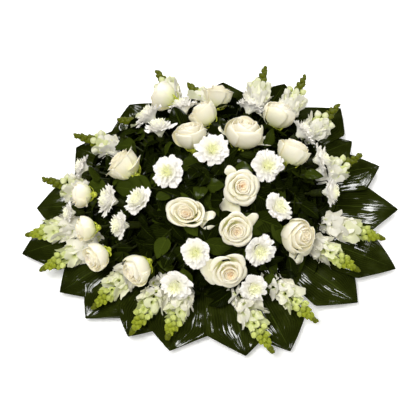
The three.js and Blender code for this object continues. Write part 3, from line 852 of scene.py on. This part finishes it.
def carnation(sheaf, row, hub, settings, draw):
    at, faces, size = row
    face, neck = bloom_place(at, faces, CARNATION_DEPTH * size)
    start = draw.uniform(0, FULL_TURN)
    for number, ring in enumerate(CARNATION_RINGS):
        count = ring[0]
        for k in range(count):
            turn = start + 0.5 * number + (k + draw.uniform(-0.22, 0.22)) * FULL_TURN / count
            layer = (number + 0.9 * k / count) / (len(CARNATION_RINGS) - 0.1)
            carnation_petal(sheaf, face, size, ring, turn, layer, draw.uniform(), settings)
    radii = [size * radius for radius in CARNATION_STEM_RADII]
    sheaf.tube([hub, neck, neck + 3 * face.z], radii, 1, sides=6)
    sheaf.lathe(face, CARNATION_CALYX, size, 1)


def carnation_bunch(sheaf, bunch, number, settings, draw):
    hub = hub_of(row[0] for row in bunch)
    for row in bunch:
        carnation(sheaf, row, hub, settings, draw)


FLORET_COLUMNS = 24
# Rows of a floret's tube: radius and height as shares of its reach.
FLORET_TUBE = np.array([(0.05, 0.0), (0.12, 0.16), (0.15, 0.38), (0.19, 0.56)])
FLORET_LIP = np.array([0.2, 0.45, 0.7, 0.9, 1.0])
FLORET_PALATE = ((0.12, 0.42), (0.19, 0.54), (0.2, 0.64), (0.14, 0.73), (0.01, 0.76))
# The clefts between the lobes of the lips: angle in degrees from the side, and depth.
FLORET_CLEFTS = ((90, 0.55), (5, 0.35), (175, 0.35), (237, 0.5), (303, 0.5))
FLORET_CLEFT_WIDTH = 13
BUD_COLUMNS = 9
BUD_ROWS = 7
# A bud: its length at the tip of the spike, how much it gains per whole spike, and its width as a
# share of its length. The pale buds lie below the dark ones of the tip.
PALE_BUD = (7.5, 14, 0.46)
TIP_BUD = (8, 13, 0.44)
TIP_BUD_LAYER = 0.12
# How far florets and buds reach, and how far they lean from the stem, along the spike from its tip.
SPIKE_REACH_FROM_TIP = (0, 0.09, 0.26, 0.42, 0.6, 0.76, 0.92, 1)
SPIKE_REACHES = (4, 8, 12, 16.5, 19.5, 20.5, 18, 16)
SPIKE_LEAN_FROM_TIP = (0, 0.15, 0.5, 1)
SPIKE_LEANS = (16, 42, 64, 78)
SPIKE_SPREAD = 1.28
SPIKE_STEM_RADII = (0.7, 2.4)
# The shares of the spike, from its tip, down to which all is buds, and down to which they are dark.
BUDS_FROM = 0.36
TIP_FROM = 0.08
# Behind this azimuth the spikes have a long slim tip of dark buds, and young florets below it. The
# share narrows their buds, and the youth is how much younger the florets next to the tip are.
SLIM_AZIMUTH = 75
SLIM_BUDS_FROM = 0.62
SLIM_TIP_FROM = 0.45
SLIM_SHARE = 0.85
SLIM_YOUTH = 0.22


def floret(sheaf, place, reach, layer, chance):
    """An open floret: a tube, an upper lip of two raised lobes, a lower one of three, and a palate."""
    degrees = np.arange(FLORET_COLUMNS)[None, :] * 360 / FLORET_COLUMNS
    angle = np.radians(degrees)
    upper = 0.5 + 0.5 * np.sin(angle)
    cleft = 0
    for middle, depth in FLORET_CLEFTS:
        away = (degrees - middle + 180) % 360 - 180
        cleft = cleft + depth * np.exp(-((away / FLORET_CLEFT_WIDTH) ** 2))
    lip = FLORET_LIP[:, None]
    opened = min(1, max(0.5, (layer - 0.25) / 0.3))
    length = opened * (0.6 + 0.2 * upper) * (1 - cleft * lip**1.5) * (0.85 + 0.35 * chance)
    rise = -0.15 + 1.15 * upper - 0.9 * lip * (1 - upper) + 0.25 * math.sin(chance * 40)
    ruffle = lip**2 * (0.09 * np.sin(6 * angle + chance * 20) + 0.04 * np.sin(11 * angle + chance * 33))
    tube_radius, tube_height = np.repeat(FLORET_TUBE.T[:, :, None], FLORET_COLUMNS, axis=2)
    mouth_radius, mouth_height = FLORET_TUBE[-1]
    lip_radius = mouth_radius + length * lip * np.cos(rise) + 0.5 * ruffle
    lip_height = mouth_height + length * lip * np.sin(rise) + ruffle
    radius = reach * np.vstack([tube_radius, lip_radius])
    height = reach * np.vstack([tube_height, lip_height])
    points = place.put(radius, angle, height)
    sheaf.add(points, 0, closed=True, across=np.sin(angle), layer=layer, chance=chance)
    palate = Place(place.origin - 0.1 * reach * place.y, place.z - 0.35 * place.y, place.x)
    sheaf.lathe(palate, FLORET_PALATE, reach, 0, sides=9, layer=layer * 0.9, chance=chance)


def bud(sheaf, place, reach, width, layer, chance):
    """A closed bud, round or pointed."""
    angle = around(BUD_COLUMNS)
    share = np.linspace(0, 1, BUD_ROWS)[:, None]
    swell = np.sin(math.pi * np.clip(share, 0.03, 0.985) ** 0.85) ** 0.75
    creases = 1 + 0.08 * np.cos(3 * angle + chance * 9) * share
    points = place.put(reach * width * swell * creases, angle, reach * share)
    sheaf.add(points, 0, closed=True, across=np.sin(angle), along=share, layer=layer, chance=chance)


def bezier_path(first, middle, last, count):
    """Points at even distances along a quadratic Bezier curve, and the length from its end."""
    share = np.linspace(0, 1, 200)[:, None]
    line = (1 - share) ** 2 * first + 2 * share * (1 - share) * middle + share**2 * last
    steps = np.linalg.norm(np.diff(line, axis=0), axis=1)
    run = np.concatenate([[0], np.cumsum(steps)])
    even = np.linspace(0, run[-1], count)
    points = np.stack([np.interp(even, run, line[:, axis]) for axis in range(3)], axis=-1)
    return points, run[-1] - even


def spike(sheaf, row, root, settings, draw):
    exit_azimuth, tip_azimuth, tip_radius, tip_height, bend_height, flowering = row
    slim = abs(tip_azimuth) > SLIM_AZIMUTH
    buds_from, tip_from = (SLIM_BUDS_FROM, SLIM_TIP_FROM) if slim else (BUDS_FROM, TIP_FROM)
    leaving = polar(exit_azimuth, *SPIKE_EXIT)
    bend = polar(exit_azimuth, SPIKE_BEND_RADIUS, bend_height)
    tip = polar(tip_azimuth, tip_radius, tip_height)
    path, from_tip = bezier_path(leaving, bend, tip - 5 * unit(tip - bend), 60)
    radii = np.interp(from_tip, (0, flowering), SPIKE_STEM_RADII)
    sheaf.tube([root, *path[::3], path[-1]], [SPIKE_STEM_RADII[1], *radii[::3], radii[-1]], 1)

    def spot_at(distance):
        return np.array([np.interp(distance, from_tip[::-1], path[::-1, axis]) for axis in range(3)])

    start = draw.uniform(0, FULL_TURN)
    for k in range(settings.florets + settings.buds):
        turn = start + k * GOLDEN_ANGLE
        chance = draw.uniform()
        is_floret = k < settings.florets
        if is_floret:
            far = 1 - (1 - buds_from) * k / settings.florets + draw.uniform(-0.02, 0.02)
        else:
            far = buds_from * (1 - (k - settings.florets) / settings.buds) + 0.01
        spread = math.hypot(SPIKE_SPREAD * math.cos(turn), math.sin(turn))
        reach = spread * np.interp(far, SPIKE_REACH_FROM_TIP, SPIKE_REACHES)
        if slim and not is_floret:
            reach = reach * (SLIM_SHARE + (1 - SLIM_SHARE) * (far / buds_from) ** 2)
        lean = math.radians(np.interp(far, SPIKE_LEAN_FROM_TIP, SPIKE_LEANS) + draw.uniform(-6, 6))
        distance = far * flowering + 0.3 * reach
        stem = Place(spot_at(distance), spot_at(distance - 2) - spot_at(distance + 2))
        out = stem.x * math.cos(turn) + stem.y * math.sin(turn)
        sideways = np.cross(stem.z, out)
        place = Place(stem.origin, stem.z * math.cos(lean) + out * math.sin(lean), sideways)
        if is_floret:
            age = far - SLIM_YOUTH * (1 - far) / (1 - buds_from) if slim else far
            floret(sheaf, place, reach * draw.uniform(0.95, 1.08), age, chance)
            continue
        pale = far > tip_from
        shortest, gain, width = PALE_BUD if pale else TIP_BUD
        if pale:
            place.origin = place.origin + place.z * max(0, reach - 10)
        layer = far if pale else TIP_BUD_LAYER * far
        bud(sheaf, place, shortest + gain * far, width, layer, chance)


def spike_pair(sheaf, pair, number, settings, draw):
    middle = unit(sum(direction(row[0], 90) for row in pair))
    root = middle * SPIKE_ROOT[0] + np.array([0, 0, SPIKE_ROOT[1]])
    for row in pair:
        spike(sheaf, row, root, settings, draw)


COLLAR_ROWS = 40
COLLAR_COLUMNS = 23
COLLAR_TIP_SHARE = 0.012
# The soft waves of the edge and the fine ripples beside the midrib: their height, and a ripple's width.
COLLAR_WAVE = 0.9
COLLAR_RIPPLE = 0.35
COLLAR_RIPPLE_WIDTH = 9
COLLAR_STALK_RADII = (2.4, 2.4, 0.8)


def collar_widths(shares):
    """The outline of a collar leaf, with its corners rounded off."""
    fine = np.linspace(-0.1, 1.1, 481)
    widths = np.interp(fine, COLLAR_SHARES, COLLAR_WIDTHS)
    window = np.hanning(21)
    soft = np.convolve(widths, window / window.sum(), mode="same")
    return np.interp(shares, fine, np.minimum(soft, 1.0))


def collar_leaf(sheaf, row, number, settings, draw):
    azimuth, tip_radius, half_width = row
    share, across = grid(COLLAR_ROWS, COLLAR_COLUMNS)
    side = np.abs(across)
    widths = collar_widths(share)
    widths[-1] = COLLAR_TIP_SHARE
    phase = draw.uniform(0, FULL_TURN)
    edge_waves = 1 + 0.02 * np.sin(share * 14 + phase) * side
    off = across * widths * half_width * edge_waves
    radius = COLLAR_BLADE_RADIUS + share * (tip_radius - COLLAR_BLADE_RADIUS)
    rib = COLLAR_HEIGHT - COLLAR_DROOP * np.maximum(0, radius - COLLAR_DROOP_FROM) ** 2
    slope = math.tan(math.radians(COLLAR_ROLL))
    height = rib - off * slope - COLLAR_ARCH * off**2
    height = height + COLLAR_WAVE * np.sin(share * 9 + phase) * side**2 * share
    ripple = np.cos(off * FULL_TURN / COLLAR_RIPPLE_WIDTH)
    height = height + COLLAR_RIPPLE * ripple * (1 - side**4) * widths
    a = math.radians(azimuth)
    x = math.cos(a) * off + math.sin(a) * radius
    y = math.sin(a) * off - math.cos(a) * radius
    sheaf.add(np.stack(np.broadcast_arrays(x, y, height), axis=-1), 0, chance=draw.uniform())
    stalk_spots = (COLLAR_ROOT_RADIUS, COLLAR_BLADE_RADIUS - 6, COLLAR_BLADE_RADIUS + 12)
    stalk = [polar(azimuth, spot, COLLAR_HEIGHT) for spot in stalk_spots]
    sheaf.tube(stalk, COLLAR_STALK_RADII, 1)


SPRIG_GRID = (11, 9)
SPRIG_THICKNESS = 0.6
SPRIG_STALK_RADII = (1.6, 1.4, 0.6)
# The cover leaves: ranges of how deep their feet lie in the mound, their length, width as a share of
# it, heading and lean. The spots along a leaf that are tried, how low and how far out they may lie,
# how far down the mound the leaves go, and how many pieces they make up.
COVER_GRID = (9, 7)
COVER_STALK_RADII = (1.2, 1.1, 0.6)
COVER_DEPTHS = (22, 84)
COVER_LENGTHS = (32, 56)
COVER_ASPECTS = (0.5, 0.78)
COVER_HEADINGS = (-110, 110)
COVER_LEANS = (45, 92)
COVER_SPOTS = (0.3, 0.65, 1)
COVER_FLOOR = 38
COVER_REACH = 0.96
COVER_SPAN = 1.04
COVER_PIECES = 4


def filler_leaf(sheaf, foot, along_axis, up, length, aspect, chance, draw, counts):
    """A pointed oval leaf, folded along its rib, with a drooping tip and a wavy edge."""
    across_axis = unit(np.cross(along_axis, up))
    normal = np.cross(across_axis, along_axis)
    share, across = grid(*counts)
    outline = np.sin(math.pi * np.clip(share, 0.012, 0.992) ** 0.82) ** 0.8
    off = across * outline * aspect * length / 2
    fold = draw.uniform(0.12, 0.3)
    droop = draw.uniform(0.08, 0.3) * length
    wave = 0.025 * length * np.sin(share * 9 + chance * 20) * across**2
    lift = fold * np.abs(off) - droop * share**2.2 + wave
    reach = length * share * np.ones_like(across)
    points = foot + reach[..., None] * along_axis + off[..., None] * across_axis + lift[..., None] * normal
    sheaf.add(points, 0, chance=chance)


def sprig(sheaf, leaves, number, settings, draw):
    hub = hub_of(leaves)
    for azimuth, tilt, heading, lean, length in leaves:
        ray, along = leaf_axes(azimuth, tilt, heading, lean)
        foot = dome_point(azimuth, tilt) - SPRIG_LEAF_SINK * ray
        chance = draw.uniform(0.3, 1)
        filler_leaf(sheaf, foot, along, ray, length, FILLER_ASPECT, chance, draw, SPRIG_GRID)
        sheaf.tube([hub, foot, foot + 3 * along], SPRIG_STALK_RADII, 1, sides=6)


# The steps in which a ray is followed to the foam's surface, and how far at most.
FOAM_STEP = 4
FOAM_SEARCH = 200
# The head of a bloom or spike, for keeping leaves out: its radius, where it begins and ends along its
# axis, below which height it narrows to its neck, and how wide that is.
ROSE_HEAD = 34
CARNATION_HEAD = 30
SPIKE_HEAD = 24
SPIKE_HEADS_FROM_TIP = (12, 60)
HEAD_SPAN = (-52, 12)
NECK_BELOW = -25
NECK_SHARE = 0.45


def leaf_axes(azimuth, tilt, heading, lean):
    """The way a leaf on the mound points, from its heading on the mound and its lean."""
    ray = direction(azimuth, tilt)
    outward = direction(azimuth, tilt + 90)
    sideways = np.cross(ray, outward)
    turn, fall = math.radians(heading), math.radians(lean)
    flat = outward * math.cos(turn) + sideways * math.sin(turn)
    return ray, ray * math.cos(fall) + flat * math.sin(fall)


def bloom_spines():
    """The axis of every bloom: its face or tip, its direction and its radius."""
    rows = [(*row[:3], ROSE_HEAD) for row in ROSES]
    rows += [(*row, CARNATION_HEAD) for bunch in CARNATION_BUNCHES for row in bunch]
    spines = []
    for at, faces, size, radius in rows:
        face, _ = bloom_place(at, faces, ROSE_DEPTH * size)
        spines.append((face.origin, face.z, radius * size))
    for exit_azimuth, tip_azimuth, tip_radius, tip_height, bend_height, _ in sum(SNAPDRAGON_PAIRS, []):
        tip = polar(tip_azimuth, tip_radius, tip_height)
        axis = unit(tip - polar(exit_azimuth, SPIKE_BEND_RADIUS, bend_height))
        spines += [(tip - distance * axis, axis, SPIKE_HEAD) for distance in SPIKE_HEADS_FROM_TIP]
    return spines


def clear_of_blooms(point, spines):
    """Whether a point is outside the heads of all the blooms."""
    for face, axis, radius in spines:
        offset = point - face
        height = offset @ axis
        away = np.linalg.norm(offset - height * axis)
        room = radius if height > NECK_BELOW else NECK_SHARE * radius
        if HEAD_SPAN[0] < height < HEAD_SPAN[1] and away < room:
            return False
    return True


def dome_share(point):
    """How far out a point lies between the middle of the mound and its surface."""
    return math.hypot(point[0] / DOME_RADIUS, point[1] / DOME_RADIUS, point[2] / DOME_HEIGHT)


def foam_foot(point):
    """Where a stalk that leads from a point towards the focus enters the foam."""
    ray = unit(point - FOCUS)
    reach = 0.0
    while reach < FOAM_SEARCH:
        spot = FOCUS + ray * (reach + FOAM_STEP)
        radius = math.hypot(spot[0], spot[1])
        rise = max(0.0, spot[2] - FOAM_SHOULDER) / (FOAM_TOP - FOAM_SHOULDER)
        if (radius / FOAM_RADIUS) ** 2 + rise**2 > 1:
            break
        reach += FOAM_STEP
    return FOCUS + ray * reach


def dress_node(node, material):
    """Gives a CAD node that stays as it is its material."""
    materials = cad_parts[node].data.materials
    materials.clear()
    materials.append(material)


def build_pieces(rows, shape, settings, draw, materials, slot, piece, node, thickness=0.0):
    """Shapes a piece from each row of a table, and lets it stand for the node of the same number.

    Each shape function takes a sheaf, the row, its number, the settings and the random draws.
    """
    for number, row in enumerate(rows, 1):
        sheaf = Sheaf()
        shape(sheaf, row, number, settings, draw)
        sheaf.build(f"{piece}_{number:02d}", materials, slot, [f"{node}_{number:02d}"], thickness)


class FLOWERS_OT_dish(bpy.types.Operator):
    """Give the dish and its foam their finishes"""

    bl_idname = "flowers.dish"
    bl_label = "Dish and foam"

    def execute(self, context):
        dress_node("dish", dish_finish())
        dress_node("floral_foam", foam_finish())
        return {"FINISHED"}


class FLOWERS_OT_roses(bpy.types.Operator):
    """Build the roses from layers of petals"""

    bl_idname = "flowers.roses"
    bl_label = "Roses"

    def execute(self, context):
        settings = context.scene.rose_settings
        stem = stem_finish("Stem", context.scene.leaf_settings.stem_color)
        materials = [rose_finish(settings), stem, stem_finish("Rose sepal", settings.sepal_color)]
        draw = np.random.default_rng(ROSE_SEED)
        names = ("rose", "rose_bloom", "rose")
        build_pieces(ROSES, rose, settings, draw, materials, *names, settings.thickness / MM)
        return {"FINISHED"}


class FLOWERS_OT_carnations(bpy.types.Operator):
    """Build the carnations from fringed petals"""

    bl_idname = "flowers.carnations"
    bl_label = "Carnations"

    def execute(self, context):
        settings = context.scene.carnation_settings
        stem = stem_finish("Carnation stem", context.scene.leaf_settings.stem_color)
        materials = [carnation_finish(settings), stem]
        draw = np.random.default_rng(CARNATION_SEED)
        names = ("carnation", "carnation_blooms", "carnations")
        build_pieces(CARNATION_BUNCHES, carnation_bunch, settings, draw, materials, *names)
        return {"FINISHED"}


class FLOWERS_OT_snapdragons(bpy.types.Operator):
    """Build the snapdragon spikes from florets and buds"""

    bl_idname = "flowers.snapdragons"
    bl_label = "Snapdragons"

    def execute(self, context):
        settings = context.scene.snapdragon_settings
        stem = stem_finish("Snapdragon stem", context.scene.leaf_settings.stem_color)
        materials = [snapdragon_finish(settings), stem]
        draw = np.random.default_rng(SNAPDRAGON_SEED)
        names = ("snapdragon", "snapdragon_spikes", "snapdragons")
        build_pieces(SNAPDRAGON_PAIRS, spike_pair, settings, draw, materials, *names)
        return {"FINISHED"}


class FLOWERS_OT_collar(bpy.types.Operator):
    """Build the collar of broad leaves"""

    bl_idname = "flowers.collar"
    bl_label = "Collar leaves"

    def execute(self, context):
        settings = context.scene.leaf_settings
        materials = [collar_finish(settings), stem_finish("Collar stalk", settings.stem_color)]
        draw = np.random.default_rng(COLLAR_SEED)
        names = ("collar", "broad_leaf", "collar_leaf")
        build_pieces(COLLAR_LEAVES, collar_leaf, settings, draw, materials, *names, COLLAR_THICKNESS)
        return {"FINISHED"}


class FLOWERS_OT_fillers(bpy.types.Operator):
    """Build the small leaves that fill the mound and hide the foam"""

    bl_idname = "flowers.fillers"
    bl_label = "Filler leaves"

    def execute(self, context):
        settings = context.scene.leaf_settings
        materials = [filler_finish(settings), stem_finish("Filler stalk", settings.stem_color)]
        draw = np.random.default_rng(FILLER_SEED)
        names = ("foliage", "sprig_leaves", "foliage_sprig")
        build_pieces(SPRIGS, sprig, settings, draw, materials, *names, SPRIG_THICKNESS)
        self.cover(settings, materials, draw)
        return {"FINISHED"}

    def cover(self, settings, materials, draw):
        """Leaves on short stalks from the foam, wherever the blooms leave room."""
        spines = bloom_spines()
        sheaves = [Sheaf() for _ in range(COVER_PIECES)]
        for k in range(settings.extra_leaves):
            level = (k + 0.5) / settings.extra_leaves
            tilt = math.degrees(math.acos(1 - COVER_SPAN * level))
            azimuth = math.degrees(k * GOLDEN_ANGLE) % 360
            ray, along = leaf_axes(azimuth, tilt, draw.uniform(*COVER_HEADINGS), draw.uniform(*COVER_LEANS))
            length = draw.uniform(*COVER_LENGTHS)
            foot = dome_point(azimuth, tilt) - draw.uniform(*COVER_DEPTHS) * ray
            chance = draw.uniform()
            spots = [foot + share * length * along for share in COVER_SPOTS]
            low = min(spot[2] for spot in spots) < COVER_FLOOR
            far = max(dome_share(spot) for spot in spots) > COVER_REACH
            if low or far or not all(clear_of_blooms(spot, spines) for spot in spots):
                continue
            sheaf = sheaves[int(azimuth * COVER_PIECES // 360)]
            aspect = draw.uniform(*COVER_ASPECTS)
            filler_leaf(sheaf, foot, along, ray, length, aspect, chance, draw, COVER_GRID)
            sheaf.tube([foam_foot(foot), foot, foot + 3 * along], COVER_STALK_RADII, 1, sides=4)
        for number, sheaf in enumerate(sheaves, 1):
            sheaf.build(f"cover_leaves_{number:02d}", materials, "foliage")


FLOOR_REACH = 4.0
FLOOR_GLOW = 0.45
AMBIENT_COLOR = (1, 0.92, 0.78, 1)
# Each lamp: its name, place, size, share of the key light's power, and whether it lights matt surfaces.
LAMPS = (
    ("key", (-0.6, -1.2, 2.4), 0.9, 1, True),
    ("fill", (1.6, -0.6, 1.6), 1.2, 0.25, True),
    ("back", (-0.3, 1.5, 2.2), 0.5, 0.35, True),
    ("glint", (0.1, 1.7, 2.7), 2.5, 9.0, False),
)
CAMERA_TARGET = (0.002, 0, 0.015)
SENSOR_WIDTH = 36


def add_to_studio(context, data, spot, back):
    """Adds a lamp or the camera at a spot, with its back turned the given way."""
    made = bpy.data.objects.new(data.name, data)
    made.location = spot
    made.rotation_mode = "QUATERNION"
    made.rotation_quaternion = back.to_track_quat("Z", "Y")
    context.scene.collection.objects.link(made)
    return made


class FLOWERS_OT_studio(bpy.types.Operator):
    """Set the floor, the lights and the camera"""

    bl_idname = "flowers.studio"
    bl_label = "Studio"

    def execute(self, context):
        settings = context.scene.stage_settings
        self.floor(context, settings)
        self.lights(context, settings)
        self.camera(context, settings)
        return {"FINISHED"}

    def floor(self, context, settings):
        corners = [(x * FLOOR_REACH, y * FLOOR_REACH, 0) for x, y in ((-1, -1), (1, -1), (1, 1), (-1, 1))]
        mesh = bpy.data.meshes.new("studio_floor")
        mesh.from_pydata(corners, [], [range(4)])
        color = (*settings.floor_color, 1)
        finish = Finish("Studio floor")
        finish.done(Base_Color=color, Roughness=0.8, Emission_Color=color, Emission_Strength=FLOOR_GLOW)
        mesh.materials.append(finish.material)
        floor = bpy.data.objects.new("studio_floor", mesh)
        context.scene.collection.objects.link(floor)
        floor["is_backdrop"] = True

    def lights(self, context, settings):
        world = bpy.data.worlds.new("Studio")
        world.use_nodes = True
        background = world.node_tree.nodes["Background"]
        background.inputs["Color"].default_value = AMBIENT_COLOR
        background.inputs["Strength"].default_value = settings.ambient
        context.scene.world = world
        context.scene.view_settings.view_transform = "Standard"
        for name, spot, size, share, lights_surfaces in LAMPS:
            light = bpy.data.lights.new(f"studio_{name}", "AREA")
            light.size = size
            light.energy = share * settings.key_power
            lamp = add_to_studio(context, light, spot, Vector(spot))
            lamp.visible_diffuse = lights_surfaces

    def camera(self, context, settings):
        data = bpy.data.cameras.new("studio_camera")
        data.sensor_width = SENSOR_WIDTH
        data.lens = SENSOR_WIDTH * settings.distance / settings.view_width
        rise = settings.elevation
        back = Vector((0, -math.cos(rise), math.sin(rise)))
        spot = Vector(CAMERA_TARGET) + back * settings.distance
        context.scene.camera = add_to_studio(context, data, spot, back)


SETTINGS = {
    "rose_settings": RoseSettings,
    "carnation_settings": CarnationSettings,
    "snapdragon_settings": SnapdragonSettings,
    "leaf_settings": LeafSettings,
    "stage_settings": StageSettings,
}
OPERATORS = (
    FLOWERS_OT_dish,
    FLOWERS_OT_roses,
    FLOWERS_OT_carnations,
    FLOWERS_OT_snapdragons,
    FLOWERS_OT_collar,
    FLOWERS_OT_fillers,
    FLOWERS_OT_studio,
)


class FLOWERS_PT_sidebar(bpy.types.Panel):
    """Lists the settings and the pieces of the arrangement"""

    bl_label = "Funeral arrangement"
    bl_space_type = "VIEW_3D"
    bl_region_type = "UI"
    bl_category = "Flowers"

    def draw(self, context):
        for operator in OPERATORS:
            self.layout.operator(operator.bl_idname)
        for name, group in SETTINGS.items():
            box = self.layout.box()
            for key in group.__annotations__:
                box.prop(getattr(context.scene, name), key)


CLASSES = (*SETTINGS.values(), *OPERATORS, FLOWERS_PT_sidebar)


def register():
    for cls in CLASSES:
        bpy.utils.register_class(cls)
    for name, group in SETTINGS.items():
        setattr(bpy.types.Scene, name, bpy.props.PointerProperty(type=group))


def unregister():
    for name in SETTINGS:
        delattr(bpy.types.Scene, name)
    for cls in reversed(CLASSES):
        bpy.utils.unregister_class(cls)


def main():
    register()
    bpy.ops.flowers.dish()
    bpy.ops.flowers.roses()
    bpy.ops.flowers.carnations()
    bpy.ops.flowers.snapdragons()
    bpy.ops.flowers.collar()
    bpy.ops.flowers.fillers()
    bpy.ops.flowers.studio()
    boxes = {"cad": CAD_BOX, "visual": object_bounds()}
    sizes = {name: [list(corner) for corner in box] for name, box in boxes.items()}


if __name__ == "__main__":
    main()
